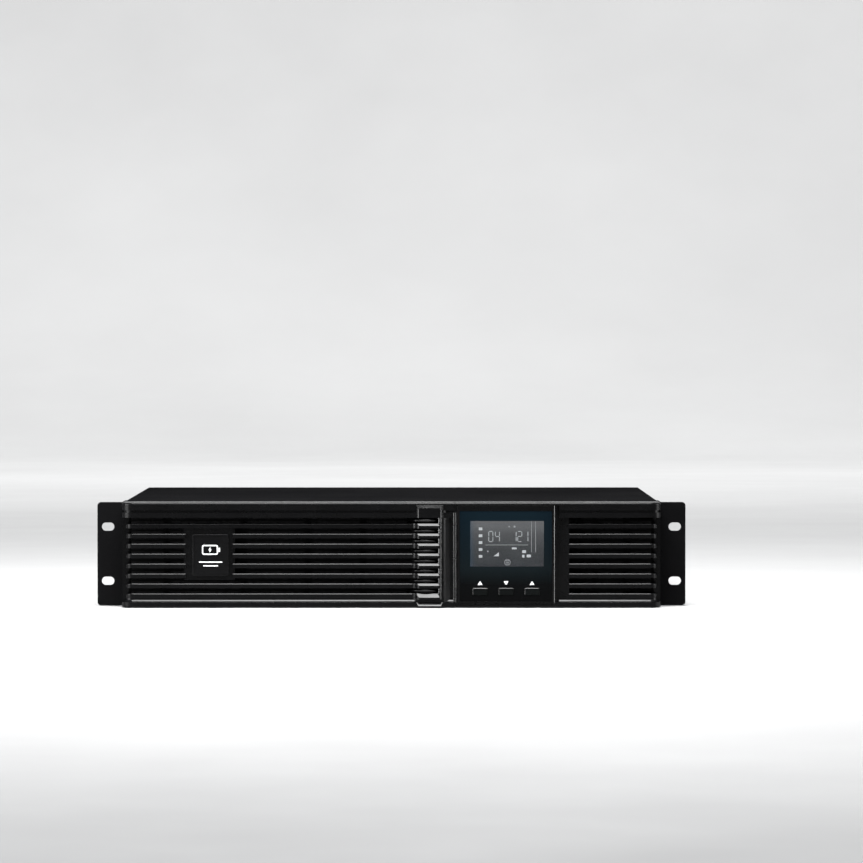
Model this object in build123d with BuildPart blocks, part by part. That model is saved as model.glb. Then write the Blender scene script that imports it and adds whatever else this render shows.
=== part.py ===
from build123d import *
from math import cos, radians, sin
import os

os.makedirs("parts", exist_ok=True)

# Two-unit rackmount uninterruptible power supply, in millimetres.
# X runs to the right seen from the front, Y from the front to the rear, Z up.
# The origin is the centre of the underside of the whole unit.

# ---------------------------------------------------------------- overall sizes
overall_width = 482.6
overall_depth = 410.0
overall_height = 86.0
sheet = 1.2
body_half = 219.0
body_top = 85.6
wall_in = body_half - sheet
cover_under = body_top - sheet
floor_top = sheet

crest_y = -overall_depth / 2
face_y = crest_y + 3.0
plate_y = face_y + 28.0
plate_back_y = plate_y + sheet
rear_y = overall_depth / 2 - 3.5
rear_in_y = rear_y - sheet

# ---------------------------------------------------------------- bezel
bezel_half = 220.0
bezel_low = 0.4
bezel_high = overall_height
bezel_wall = 2.5
front_wall = 9.5
corner_r = 8.5
side_slot_end_y = -188.0
side_recess_end_y = -186.0
door_strip_x = 50.4
door_edge_x = 51.8
fixed_edge_x = 52.2
strip_edge_r = 0.55
recess = 3.5
ledge_z = 4.7
louvre_top_z = 73.6
groove_low_z = 77.8
groove_high_z = 79.7
groove_depth = 1.6
fin_lip_r = 1.3
fin_count = 8
fin_pitch = 8.14
fin_height = 3.9
lowest_fin_top_z = 11.9
highest_fin_top_z = lowest_fin_top_z + fin_pitch * (fin_count - 1)

# Finger grip of the battery door
grip_left_x = 17.0
grip_rise = 6.5
grip_right_x = 40.9
grip_edge_r = 1.3
grip_slot_end_x = 38.1
post_right_x = 47.8
grip_lip = (1.1, 1.7)
grip_foot_lip = (2.1, 3.2)
spindle_x = 28.0
spindle_half = 8.0
spindle_r = 1.3
spindle_tip_r = 0.25
spindle_y = face_y - 1.2
web_thick = 0.8

# Badge pocket of the battery door
badge_x = -148.6
badge_z = 44.0
pocket_width = 38.7
pocket_height = 39.9
badge_width = 29.4
badge_height = 34.2
badge_thick = 2.5

# Locating pins and ball studs that hold the battery door
pin_x = -215.6
pin_zs = [20.0, 66.0]
stud_points = [(18.0, 74.0), (40.0, 74.0), (18.0, 10.0), (40.0, 10.0)]
ball_y = -181.0
ball_r = 2.8
ball_gap = 0.2
boss_end_y = ball_y + 2.5

# ---------------------------------------------------------------- display module
module_left_x = 53.9
module_right_x = 133.1
module_low_z = 3.4
module_high_z = 83.8
module_front_y = face_y - 0.6
module_back_y = -180.0
module_x = (module_left_x + module_right_x) / 2
window_left_x = 55.6
window_right_x = 131.0
window_low_z = 5.4
window_high_z = 79.1
window_front_y = module_front_y + 0.3
window_thick = 2.0
lcd_x = 94.3
lcd_z = 52.4
lcd_width = 60.0
lcd_height = 37.2
button_pitch = 21.2
button_z = 13.5
button_width = 12.0
button_height = 5.7
button_travel = 0.8

# ---------------------------------------------------------------- battery bay
bay_left_x = -205.0
bay_right_x = -3.0
bay_low_z = 4.2
bay_high_z = 80.0
tray_left_x = -204.4
tray_right_x = -3.6
tray_sheet = 1.0
tray_low_z = 4.5
tray_rear_y = 137.0
tray_side_high_z = 52.0
flange_front_y = plate_y - tray_sheet
battery_width = 94.0
battery_length = 151.0
battery_height = 65.0
socket_x = 20.0
socket_z = 42.0

# ---------------------------------------------------------------- rear and inside
fan_x = 165.0
fan_z = 43.0
fan_size = 80.0
fan_depth = 25.0
fan_bore_r = 38.2
shaft_r = 1.5
shaft_gap = 0.05
board_top_z = 10.8
board_thick = 1.6
standoff_points = [(x, y) for x in (12.0, 106.0) for y in (-132.0, 10.0, 157.0)]

ear_thick = 2.0
ear_front_y = -172.0
ear_low_z = 0.6
ear_high_z = 85.4
ear_slot_x = 465.1 / 2
ear_slot_spacing_z = 44.45


# ---------------------------------------------------------------- helpers
def block(x0, x1, y0, y1, z0, z1, mode=Mode.ADD):
    """Box between two corners, in the part being built."""
    with Locations(((x0 + x1) / 2, (y0 + y1) / 2, (z0 + z1) / 2)):
        Box(x1 - x0, y1 - y0, z1 - z0, mode=mode)


def facing(x, y, z, direction):
    """Plane at a point whose normal is the given direction, with its own X level where it can be."""
    level = (1, 0, 0) if abs(direction[1]) > 0.5 else (0, 1, 0)
    return Plane(origin=(x, y, z), x_dir=level, z_dir=direction)


def wall_plane(y):
    """Upright plane seen from the front: local X is X and local Y is Z. Its normal is -Y."""
    return Plane(origin=(0, y, 0), x_dir=(1, 0, 0), z_dir=(0, -1, 0))


def screw(head_r, head_h, shank_r, length, countersunk=False):
    """Screw whose head meets the surface at Z = 0 and whose shank points down -Z."""
    with BuildPart() as made:
        if countersunk:
            with Locations((0, 0, -head_h / 2)):
                Cone(shank_r, head_r, head_h)
            top = 0
        else:
            with Locations((0, 0, head_h / 2)):
                Cylinder(head_r, head_h)
            fillet(made.edges().group_by(Axis.Z)[-1], head_h * 0.35)
            top = head_h
        with Locations((0, 0, -length / 2)):
            Cylinder(shank_r, length)
        with BuildSketch(Plane.XY.offset(top)):
            Rectangle(head_r * 1.1, head_r * 0.26)
            Rectangle(head_r * 0.26, head_r * 1.1)
        extrude(amount=-head_h * 0.55, mode=Mode.SUBTRACT)
    return made.part


def pan_head(length):
    """Pan-head M3 screw, the one size used for panels, fittings and boards."""
    return screw(2.8, 1.6, 1.5, length)


def flat_head(length):
    """Countersunk screw for the ears and the lid."""
    return screw(3.2, 1.15, 1.7, length, countersunk=True)


def coupler_outline(width, height, corner):
    """Six-sided outline of an appliance coupler, its two upper corners cut off."""
    with BuildSketch() as outline:
        with BuildLine():
            Polyline(
                (-width / 2, -height / 2),
                (width / 2, -height / 2),
                (width / 2, height / 2 - corner),
                (width / 2 - corner, height / 2),
                (-width / 2 + corner, height / 2),
                (-width / 2, height / 2 - corner),
                close=True,
            )
        make_face()
    return outline.sketch


def tube(points, bend, radius):
    """Round lead along straight runs joined by tangent arcs."""
    with BuildPart() as made:
        with BuildLine() as path:
            FilletPolyline(*points, radius=bend)
        with BuildSketch(path.line ^ 0):
            Circle(radius)
        sweep(path=path.line)
    return made.part


# ================================================================ bezel ends
def end_outline(side, inner_x, inset, back_y):
    """Plan of one end of the bezel, inset from its face, with the outer front corner rounded."""
    outer_x = side * (bezel_half - inset)
    front_y = face_y + inset
    with BuildSketch() as plan:
        with Locations(((inner_x + outer_x) / 2, (front_y + back_y) / 2)):
            Rectangle(abs(outer_x - inner_x), back_y - front_y)
        corner = plan.vertices().sort_by_distance((outer_x, front_y, 0))[0]
        fillet(corner, corner_r - inset)
    return plan.sketch


def bevel(x0, x1, slope):
    """Cuts away what lies in front of a sloping line given in Y and Z, between two X positions."""
    (front, z_front), (back, z_back) = slope
    with BuildSketch(Plane.YZ.offset(x0)) as wedge:
        with BuildLine():
            Polyline(
                (front, z_front),
                (back, z_back),
                (front - 1, z_back),
                (front - 1, z_front),
                close=True,
            )
        make_face()
    extrude(wedge.sketch, amount=x1 - x0, mode=Mode.SUBTRACT)


def on_contour(side, inset):
    """Filter that keeps level edges on the rounded plan contour at an inset from the face."""
    centre_x = side * (bezel_half - corner_r)
    centre_y = face_y + corner_r

    def keep(edge):
        point = edge @ 0.5
        if edge.bounding_box().size.Z > 0.01:
            return False
        on_front = abs(point.Y - face_y - inset) < 0.01
        on_side = abs(abs(point.X) - bezel_half + inset) < 0.01
        reach = ((point.X - centre_x) ** 2 + (point.Y - centre_y) ** 2) ** 0.5
        on_corner = abs(reach - corner_r + inset) < 0.01 and point.Y < centre_y
        return on_front or on_side or on_corner

    return keep


def round_corner(x, y, side, radius):
    """Convex arc that rounds a corner at (x, y) whose body lies towards +Y and towards the given side."""
    centre_x = x + side * radius
    centre_y = y + radius
    reach = radius * 0.5**0.5
    return ThreePointArc(
        (x, centre_y),
        (centre_x - side * reach, centre_y - reach),
        (centre_x, y),
    )


def soften_upright(x, side, radius):
    """Rounds the upright edge at the front face at one X, beside a body lying towards the given side."""
    with BuildSketch(Plane.XY.offset(ledge_z)) as corner:
        with BuildLine():
            arc = round_corner(x, face_y, side, radius)
            Polyline(
                arc @ 1,
                (x + side * radius, face_y - 0.3),
                (x - side * 0.3, face_y - 0.3),
                (x - side * 0.3, face_y + radius),
                arc @ 0,
            )
        make_face()
    extrude(corner.sketch, amount=groove_high_z - ledge_z, mode=Mode.SUBTRACT)


def at_height(z):
    """Filter that keeps the edges lying at one height."""

    def keep(edge):
        box = edge.bounding_box()
        return abs(box.min.Z - z) < 0.01 and abs(box.max.Z - z) < 0.01

    return keep


def cut_ring(side, inner_x, inset, low_z, high_z):
    """Cuts a level channel of the given depth round one end of the bezel being built."""
    with BuildSketch() as ring:
        add(end_outline(side, inner_x, -1.0, side_recess_end_y))
        add(end_outline(side, inner_x - side * 1.0, inset, side_recess_end_y + 1.0), mode=Mode.SUBTRACT)
    extrude(Plane.XY.offset(low_z) * ring.sketch, amount=high_z - low_z, mode=Mode.SUBTRACT)


def slot_levels():
    """Lower and upper limit of each opening between two louvres, from the lowest up."""
    levels = []
    for i in range(fin_count - 1):
        low = lowest_fin_top_z + i * fin_pitch
        levels.append((low, low + fin_pitch - fin_height))
    levels.append((highest_fin_top_z, louvre_top_z))
    return levels


def louvred_end(side, inner_x, recess_x, slot_x, rib_xs):
    """One end of the bezel: banded top, recessed louvres that wrap round the corner, coved ledge."""
    outer_x = side * bezel_half
    cavity_outer_x = side * (bezel_half - 6.0)
    cavity_inner_x = inner_x + side * bezel_wall
    with BuildPart() as end:
        with BuildSketch(Plane.XY.offset(bezel_low)):
            add(end_outline(side, inner_x, 0, plate_y))
        extrude(amount=bezel_high - bezel_low)
        rim = end.edges().filter_by(on_contour(side, 0))
        fillet(rim.filter_by(at_height(bezel_high)), 1.8)
        rim = end.edges().filter_by(on_contour(side, 0))
        fillet(rim.filter_by(at_height(bezel_low)), 1.0)
        cut_ring(side, inner_x - side * 2.0, groove_depth, groove_low_z, groove_high_z)
        cut_ring(side, recess_x, recess, ledge_z, louvre_top_z)
        floor_edges = end.edges().filter_by(on_contour(side, recess)).filter_by(at_height(ledge_z))
        fillet(floor_edges, recess - 0.3)
        for low, high in slot_levels():
            block(
                min(slot_x, outer_x + side),
                max(slot_x, outer_x + side),
                face_y - 1,
                side_slot_end_y,
                low,
                high,
                mode=Mode.SUBTRACT,
            )
        block(
            min(cavity_inner_x, cavity_outer_x),
            max(cavity_inner_x, cavity_outer_x),
            face_y + front_wall,
            plate_y,
            bezel_low + bezel_wall,
            bezel_high - bezel_wall,
            mode=Mode.SUBTRACT,
        )
        for i in range(fin_count):
            top = lowest_fin_top_z + i * fin_pitch
            lip = end.edges().filter_by(on_contour(side, recess)).filter_by(at_height(top))
            fillet(lip, fin_lip_r)
        # Upright ribs behind the louvres, and a thin baffle blade behind each opening
        for x in rib_xs:
            block(
                x - 1,
                x + 1,
                face_y + front_wall,
                face_y + front_wall + 2,
                bezel_low + bezel_wall,
                bezel_high - bezel_wall,
            )
        for low, high in slot_levels():
            middle = (low + high) / 2
            block(
                min(slot_x, cavity_outer_x),
                max(slot_x, cavity_outer_x),
                face_y + front_wall + 0.6,
                face_y + front_wall + 2,
                middle - 0.5,
                middle + 0.5,
            )
    return end.part


# ---------------------------------------------------------------- battery door
def grip_plan():
    """Plan of the finger grip: rises from the louvres, runs level, then hollows back to the seam."""
    with BuildSketch() as plan:
        with BuildLine():
            rise = Spline(
                (grip_left_x, face_y + recess),
                (grip_left_x + grip_rise, crest_y),
                tangents=[(1, 0), (1, 0)],
            )
            crest = Line(rise @ 1, (grip_right_x - grip_edge_r, crest_y))
            edge = round_corner(grip_right_x, crest_y, -1, grip_edge_r)
            hollow = ThreePointArc(
                edge @ 0,
                (grip_right_x + 2.3, face_y + 0.9),
                (post_right_x, face_y + recess),
            )
            Polyline(
                hollow @ 1,
                (post_right_x, face_y + front_wall),
                (grip_left_x, face_y + front_wall),
                rise @ 0,
            )
        make_face()
    return plan.sketch


def grip_slot_plan():
    """Plan of an opening in the finger grip, its right end rounded where it meets the crest."""
    with BuildSketch() as plan:
        with BuildLine():
            flare = round_corner(grip_slot_end_x, crest_y, 1, grip_edge_r)
            Polyline(
                flare @ 1,
                (grip_slot_end_x + grip_edge_r, crest_y - 1),
                (grip_left_x - 1.0, crest_y - 1),
                (grip_left_x - 1.0, face_y + front_wall),
                (grip_slot_end_x, face_y + front_wall),
                flare @ 0,
            )
        make_face()
    return plan.sketch


def web_plan():
    """Plan of the bowed web that carries a spindle across a grip opening."""
    with BuildSketch() as plan:
        with BuildLine():
            bow = ThreePointArc(
                (grip_left_x - 1.0, face_y + front_wall - 2.0),
                (spindle_x, spindle_y),
                (grip_slot_end_x + 0.5, face_y + front_wall - 2.0),
            )
            Polyline(
                bow @ 1,
                (grip_slot_end_x + 0.5, face_y + front_wall + 2),
                (grip_left_x - 1.0, face_y + front_wall + 2),
                bow @ 0,
            )
        make_face()
    return plan.sketch


def spindle(z):
    """Lens-shaped bar lying along one grip opening."""
    with BuildPart() as bar:
        with BuildSketch() as profile:
            with BuildLine():
                belly = ThreePointArc(
                    (spindle_x - spindle_half, spindle_y - spindle_tip_r),
                    (spindle_x, spindle_y - spindle_r),
                    (spindle_x + spindle_half, spindle_y - spindle_tip_r),
                )
                Polyline(
                    belly @ 1,
                    (spindle_x + spindle_half, spindle_y),
                    (spindle_x - spindle_half, spindle_y),
                    belly @ 0,
                )
            make_face()
        revolve(axis=Axis((spindle_x, spindle_y, 0), (1, 0, 0)))
    return bar.part.moved(Location((0, 0, z)))


with BuildPart() as battery_door:
    add(louvred_end(-1, door_edge_x, door_strip_x, grip_left_x, [-185, -122, -70, -25]))
    soften_upright(door_strip_x, 1, strip_edge_r)
    soften_upright(door_edge_x, -1, strip_edge_r)
    grip_low_z = 1.0
    grip_high_z = 83.8
    with BuildSketch(Plane.XY.offset(grip_low_z)):
        add(grip_plan())
    extrude(amount=grip_high_z - grip_low_z)
    bevel(grip_left_x - 1, post_right_x, [(crest_y, grip_high_z - 2.3), (face_y, grip_high_z)])
    # Foot of the grip: a step back, then a slope out to a second, lower crest
    foot_y = face_y - 0.5
    block(
        grip_left_x - 1,
        post_right_x,
        crest_y - 1,
        foot_y,
        ledge_z,
        ledge_z + 2.4,
        mode=Mode.SUBTRACT,
    )
    bevel(grip_left_x - 1, post_right_x, [(crest_y, grip_low_z + 0.8), (foot_y, ledge_z)])
    for low, high in slot_levels():
        with BuildSketch(Plane.XY.offset(low)):
            add(grip_slot_plan())
        extrude(amount=high - low, mode=Mode.SUBTRACT)
        lip_depth, lip_height = grip_foot_lip if low == lowest_fin_top_z else grip_lip
        lip_slope = [(crest_y, low - lip_height), (crest_y + lip_depth, low)]
        bevel(grip_left_x - 1, grip_slot_end_x + 0.9, lip_slope)
        with BuildSketch(Plane.XY.offset((low + high - web_thick) / 2)):
            add(web_plan())
        extrude(amount=web_thick)
        add(spindle((low + high) / 2))
    # Badge pocket with its own floor
    pocket_floor_y = face_y + recess + badge_thick + 0.5
    block(
        badge_x - pocket_width / 2 - 1.5,
        badge_x + pocket_width / 2 + 1.5,
        pocket_floor_y,
        face_y + front_wall,
        badge_z - pocket_height / 2 - 1.5,
        badge_z + pocket_height / 2 + 1.5,
    )
    block(
        badge_x - pocket_width / 2,
        badge_x + pocket_width / 2,
        face_y,
        pocket_floor_y,
        badge_z - pocket_height / 2,
        badge_z + pocket_height / 2,
        mode=Mode.SUBTRACT,
    )
    # Bosses that snap on to the ball studs
    for x, z in stud_points:
        with Locations(facing(x, (face_y + front_wall + boss_end_y) / 2, z, (0, 1, 0))):
            Cylinder(4.4, boss_end_y - face_y - front_wall)
        with Locations(facing(x, boss_end_y - 4.0, z, (0, 1, 0))):
            Cylinder(ball_r + ball_gap, 8.0, mode=Mode.SUBTRACT)
    # Locating pins at the left end
    for z in pin_zs:
        with Locations(facing(pin_x, plate_y + 2.0, z, (0, 1, 0))):
            Cylinder(1.4, 6.0)
battery_door.part.label = "battery_door"
export_step(battery_door.part, "parts/battery_door.step")

# Badge: a plain plate with a raised border, snapped into the pocket
with BuildPart() as badge_plate:
    plate_back = pocket_floor_y
    block(
        badge_x + 1.2 - badge_width / 2,
        badge_x + 1.2 + badge_width / 2,
        plate_back - badge_thick,
        plate_back,
        badge_z - 1.1 - badge_height / 2,
        badge_z - 1.1 + badge_height / 2,
    )
    fillet(badge_plate.edges().filter_by(Axis.Y), 1.5)
    fillet(badge_plate.faces().sort_by(Axis.Y)[0].edges(), 0.4)
    block(
        badge_x + 1.2 - badge_width / 2 + 1.4,
        badge_x + 1.2 + badge_width / 2 - 1.4,
        plate_back - badge_thick,
        plate_back - badge_thick + 0.5,
        badge_z - 1.1 - badge_height / 2 + 1.4,
        badge_z - 1.1 + badge_height / 2 - 1.4,
        mode=Mode.SUBTRACT,
    )
badge_plate.part.label = "badge_plate"
export_step(badge_plate.part, "parts/badge_plate.step")

# Ball studs on the front plate, which the bosses behind the door snap on to
with BuildPart() as ball_studs:
    for x, z in stud_points:
        with Locations((x, ball_y, z)):
            Sphere(ball_r)
        with Locations(facing(x, (ball_y + plate_y) / 2, z, (0, 1, 0))):
            Cylinder(1.5, plate_y - ball_y)
        with Locations(facing(x, plate_y - 1.0, z, (0, 1, 0))):
            Cylinder(3.2, 2.0)
ball_studs.part.label = "ball_studs"
export_step(ball_studs.part, "parts/ball_studs.step")

# ---------------------------------------------------------------- fixed bezel
pocket_gap = 0.3
rim_right_x = module_right_x + 1.5
grille_slot_x = 145.0
bezel_screw_points = [(150.0, 10.0), (200.0, 10.0), (150.0, 76.0), (200.0, 76.0)]

with BuildPart() as front_bezel:
    add(louvred_end(1, fixed_edge_x, rim_right_x, grille_slot_x, [165, 190]))
    soften_upright(fixed_edge_x, 1, strip_edge_r)
    # Pocket that holds the display module, open to the front plate behind
    block(
        module_left_x - pocket_gap - 1.2,
        rim_right_x + 1.2,
        face_y + front_wall,
        plate_y,
        bezel_low + bezel_wall,
        bezel_high - bezel_wall,
    )
    block(
        module_left_x - pocket_gap,
        module_right_x + pocket_gap,
        face_y - 1,
        plate_y,
        module_low_z - pocket_gap,
        module_high_z + pocket_gap,
        mode=Mode.SUBTRACT,
    )
    # Groove that sets the display frame off from the banded top
    block(
        rim_right_x,
        rim_right_x + 2.2,
        face_y - 1,
        face_y + recess,
        ledge_z,
        83.9,
        mode=Mode.SUBTRACT,
    )
    # Screw bosses at the back
    for x, z in bezel_screw_points:
        with Locations(facing(x, (face_y + front_wall + plate_y) / 2, z, (0, 1, 0))):
            Cylinder(4.0, plate_y - face_y - front_wall)
            Cylinder(1.5, plate_y - face_y - front_wall + 0.01, mode=Mode.SUBTRACT)
front_bezel.part.label = "front_bezel"
export_step(front_bezel.part, "parts/front_bezel.step")

# ================================================================ display module
board_front_y = -190.6
display_board_thick = 1.6
wall_front_y = window_front_y + window_thick
wall_back_y = wall_front_y + 2.0
button_xs = [module_x - button_pitch, module_x, module_x + button_pitch]
post_points = [(59.5, 9.0), (127.5, 9.0), (59.5, 77.5), (127.5, 77.5)]

with BuildPart() as display_housing:
    block(module_left_x, module_right_x, module_front_y, module_back_y - 2, module_low_z, module_high_z)
    fillet(display_housing.edges().filter_by(Axis.Y), 0.8)
    chamfer(display_housing.faces().sort_by(Axis.Y)[0].edges(), 0.5)
    block(
        window_left_x,
        window_right_x,
        module_front_y - 1,
        wall_front_y,
        window_low_z,
        window_high_z,
        mode=Mode.SUBTRACT,
    )
    block(
        module_left_x + 2,
        module_right_x - 2,
        wall_back_y,
        module_back_y,
        module_low_z + 2,
        module_high_z - 2,
        mode=Mode.SUBTRACT,
    )
    block(
        lcd_x - 32.5,
        lcd_x + 32.5,
        wall_front_y - 1,
        wall_back_y + 1,
        lcd_z - 21,
        lcd_z + 21,
        mode=Mode.SUBTRACT,
    )
    for x in button_xs:
        block(
            x - button_width / 2 - 0.3,
            x + button_width / 2 + 0.3,
            wall_front_y - 1,
            wall_back_y + 1,
            button_z - button_height / 2 - 0.3,
            button_z + button_height / 2 + 0.3,
            mode=Mode.SUBTRACT,
        )
    for x, z in post_points:
        with Locations(facing(x, (wall_back_y + board_front_y) / 2, z, (0, 1, 0))):
            Cylinder(2.6, board_front_y - wall_back_y)
        with Locations(facing(x, board_front_y + 1.2, z, (0, 1, 0))):
            Cylinder(1.2, 2.4)
display_housing.part.label = "display_housing"
export_step(display_housing.part, "parts/display_housing.step")

with BuildPart() as display_window:
    block(
        window_left_x + 0.1,
        window_right_x - 0.1,
        window_front_y,
        wall_front_y,
        window_low_z + 0.1,
        window_high_z - 0.1,
    )
    block(
        lcd_x - lcd_width / 2,
        lcd_x + lcd_width / 2,
        window_front_y - 1,
        wall_front_y + 1,
        lcd_z - lcd_height / 2,
        lcd_z + lcd_height / 2,
        mode=Mode.SUBTRACT,
    )
    for x in button_xs:
        block(
            x - button_width / 2 - 0.25,
            x + button_width / 2 + 0.25,
            window_front_y - 1,
            wall_front_y + 1,
            button_z - button_height / 2 - 0.25,
            button_z + button_height / 2 + 0.25,
            mode=Mode.SUBTRACT,
        )
display_window.part.label = "display_window"
export_step(display_window.part, "parts/display_window.step")

with BuildPart() as lcd_lens:
    block(
        lcd_x - lcd_width / 2,
        lcd_x + lcd_width / 2,
        window_front_y,
        wall_front_y,
        lcd_z - lcd_height / 2,
        lcd_z + lcd_height / 2,
    )
lcd_lens.part.label = "lcd_lens"
export_step(lcd_lens.part, "parts/lcd_lens.step")

# Display panel: the glass and the light box behind it
with BuildPart() as lcd_panel:
    block(lcd_x - 32, lcd_x + 32, wall_front_y + 0.1, wall_front_y + 1.9, lcd_z - 20.5, lcd_z + 20.5)
    block(lcd_x - 31, lcd_x + 31, wall_front_y + 1.9, board_front_y, lcd_z - 20, lcd_z + 20)
    block(
        lcd_x - 29,
        lcd_x + 29,
        wall_front_y + 4.9,
        board_front_y,
        lcd_z - 18,
        lcd_z + 18,
        mode=Mode.SUBTRACT,
    )
lcd_panel.part.label = "lcd_panel"
export_step(lcd_panel.part, "parts/lcd_panel.step")

with BuildPart() as display_board:
    block(57.0, 130.0, board_front_y, board_front_y + display_board_thick, 6.5, 80.5)
    for x, z in post_points:
        with Locations(facing(x, board_front_y + display_board_thick, z, (0, 1, 0))):
            Hole(1.3, display_board_thick * 2)
    # Key switches behind the buttons, and the plug at the back
    for x in button_xs:
        block(x - 3, x + 3, board_front_y - 3, board_front_y, button_z - 3, button_z + 3)
        with Locations(facing(x, board_front_y - 3.25, button_z, (0, 1, 0))):
            Cylinder(1.6, 0.5)
    block(module_x - 9, module_x + 9, board_front_y + display_board_thick, -176.2, 40.5, 45.5)
display_board.part.label = "display_board"
export_step(display_board.part, "parts/display_board.step")

button_front_y = window_front_y - 0.7
stem_end_y = board_front_y - 3.5 - button_travel - 0.15
for name, x in zip(["button_left", "button_middle", "button_right"], button_xs):
    with BuildPart() as button:
        block(
            x - button_width / 2,
            x + button_width / 2,
            button_front_y,
            wall_back_y + 0.2,
            button_z - button_height / 2,
            button_z + button_height / 2,
        )
        fillet(button.edges().filter_by(Axis.Y), 0.7)
        fillet(button.faces().sort_by(Axis.Y)[0].edges(), 0.35)
        # Flange that keeps the button behind the wall, and the stem that meets the key switch
        block(
            x - button_width / 2 - 1,
            x + button_width / 2 + 1,
            wall_back_y + 0.1,
            wall_back_y + 1.1,
            button_z - button_height / 2 - 0.9,
            button_z + button_height / 2 + 0.9,
        )
        with Locations(facing(x, (wall_back_y + 1 + stem_end_y) / 2, button_z, (0, 1, 0))):
            Cylinder(1.5, stem_end_y - wall_back_y - 1)
    button.part.label = name
    export_step(button.part, f"parts/{name}.step")

with BuildPart() as display_back:
    block(module_left_x, module_right_x, module_back_y - 2, module_back_y, module_low_z, module_high_z)
    fillet(display_back.edges().filter_by(Axis.Y), 0.8)
    block(
        module_x - 12,
        module_x + 12,
        module_back_y - 3,
        module_back_y + 1,
        38,
        48,
        mode=Mode.SUBTRACT,
    )
    for i in range(5):
        z = 58.0 + 4.0 * i
        block(
            module_x - 20,
            module_x + 20,
            module_back_y - 3,
            module_back_y + 1,
            z,
            z + 1.6,
            mode=Mode.SUBTRACT,
        )
display_back.part.label = "display_back"
export_step(display_back.part, "parts/display_back.step")

# ================================================================ chassis
thumb_points = [(-209.3, 24.0), (-209.3, 60.0), (2.0, 24.0), (2.0, 60.0)]
ear_screw_ys = [-160.0, -134.0]
ear_screw_zs = [18.0, 64.0]
cover_screw_ys = [-100.0, 20.0, 150.0]
cover_screw_z = 78.0
panel_screw_zs = [14.0, 72.0]
panel_screw_x = 212.6

with BuildPart() as chassis_base:
    block(-body_half, body_half, plate_y, rear_y, 0, floor_top)
    for side in (-1, 1):
        outer = side * body_half
        inner = side * wall_in
        block(min(outer, inner), max(outer, inner), plate_y, rear_y, 0, cover_under)
        # Turned-in flanges that carry the front plate and the rear panel
        edge = side * (wall_in - 11.0)
        block(min(inner, edge), max(inner, edge), plate_back_y, plate_back_y + sheet, 0, 82.0)
        block(min(inner, edge), max(inner, edge), rear_in_y - sheet, rear_in_y, 0, 82.0)
    # Clinched standoffs that carry the main board
    for x, y in standoff_points:
        with BuildSketch(Plane(origin=(x, y, floor_top))):
            RegularPolygon(3.2, 6)
        extrude(amount=board_top_z - board_thick - floor_top)
    # Side vents beside the transformer and behind the batteries
    with BuildSketch(Plane.YZ.offset(wall_in - 1)):
        with Locations((20.0, 40.0)):
            with GridLocations(9.0, 24.0, 14, 2):
                SlotOverall(18.0, 3.6, rotation=90)
    extrude(amount=sheet + 2, mode=Mode.SUBTRACT)
    with BuildSketch(Plane.YZ.offset(-body_half - 1)):
        with Locations((155.0, 40.0)):
            with GridLocations(9.0, 24.0, 6, 2):
                SlotOverall(18.0, 3.6, rotation=90)
    extrude(amount=sheet + 2, mode=Mode.SUBTRACT)
    # Holes for the ears, the cover, the rear panel, the tray's screws and the door's pins
    for side in (-1, 1):
        for y in ear_screw_ys:
            for z in ear_screw_zs:
                with Locations(facing(side * body_half, y, z, (side, 0, 0))):
                    Hole(1.8, 3.0)
        for y in cover_screw_ys:
            with Locations(facing(side * body_half, y, cover_screw_z, (side, 0, 0))):
                CounterSinkHole(1.8, 3.3, 3.0)
        for z in panel_screw_zs:
            with Locations(facing(side * panel_screw_x, rear_in_y + 2, z, (0, 1, 0))):
                Hole(1.6, 6.0)
    for z in pin_zs:
        with Locations(facing(pin_x, plate_back_y + 2, z, (0, 1, 0))):
            Hole(1.8, 4.0)
    for x, z in thumb_points[:2]:
        with Locations(facing(x, plate_back_y + 2, z, (0, 1, 0))):
            Hole(1.7, 4.0)
chassis_base.part.label = "chassis_base"
export_step(chassis_base.part, "parts/chassis_base.step")

with BuildPart() as top_cover:
    block(-body_half, body_half, plate_y, rear_y, cover_under, body_top)
    for side in (-1, 1):
        outer = side * wall_in
        inner = side * (wall_in - 1.0)
        block(min(outer, inner), max(outer, inner), plate_back_y + 4, rear_in_y - 4, 71.0, cover_under)
        for y in cover_screw_ys:
            with Locations(facing(outer, y, cover_screw_z, (side, 0, 0))):
                Hole(2.0, 3.0)
top_cover.part.label = "top_cover"
export_step(top_cover.part, "parts/top_cover.step")

with BuildPart() as front_plate:
    block(-wall_in, wall_in, plate_y, plate_back_y, floor_top, cover_under)
    block(
        bay_left_x,
        bay_right_x,
        plate_y - 1,
        plate_back_y + 1,
        bay_low_z,
        bay_high_z,
        mode=Mode.SUBTRACT,
    )
    block(
        socket_x - 12.6,
        socket_x + 12.6,
        plate_y - 1,
        plate_back_y + 1,
        socket_z - 9.1,
        socket_z + 9.1,
        mode=Mode.SUBTRACT,
    )
    # Intake slots behind the right grille and behind the display
    with BuildSketch(wall_plane(plate_y)):
        with Locations((178.0, 43.0)):
            with GridLocations(12.0, 12.0, 5, 5):
                SlotOverall(10.0, 4.0)
        with Locations((112.0, 70.0), (112.0, 16.0)):
            with GridLocations(12.0, 6.0, 4, 2):
                SlotOverall(10.0, 3.0)
    extrude(amount=-3.0, mode=Mode.SUBTRACT)
    for x, z in bezel_screw_points:
        with Locations(facing(x, plate_back_y, z, (0, 1, 0))):
            Hole(1.6, 3.0)
    for z in pin_zs:
        with Locations(facing(pin_x, plate_y, z, (0, -1, 0))):
            Hole(1.8, 3.0)
    for x, z in thumb_points:
        with Locations(facing(x, plate_y, z, (0, -1, 0))):
            Hole(1.7, 3.0)
front_plate.part.label = "front_plate"
export_step(front_plate.part, "parts/front_plate.step")

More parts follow.
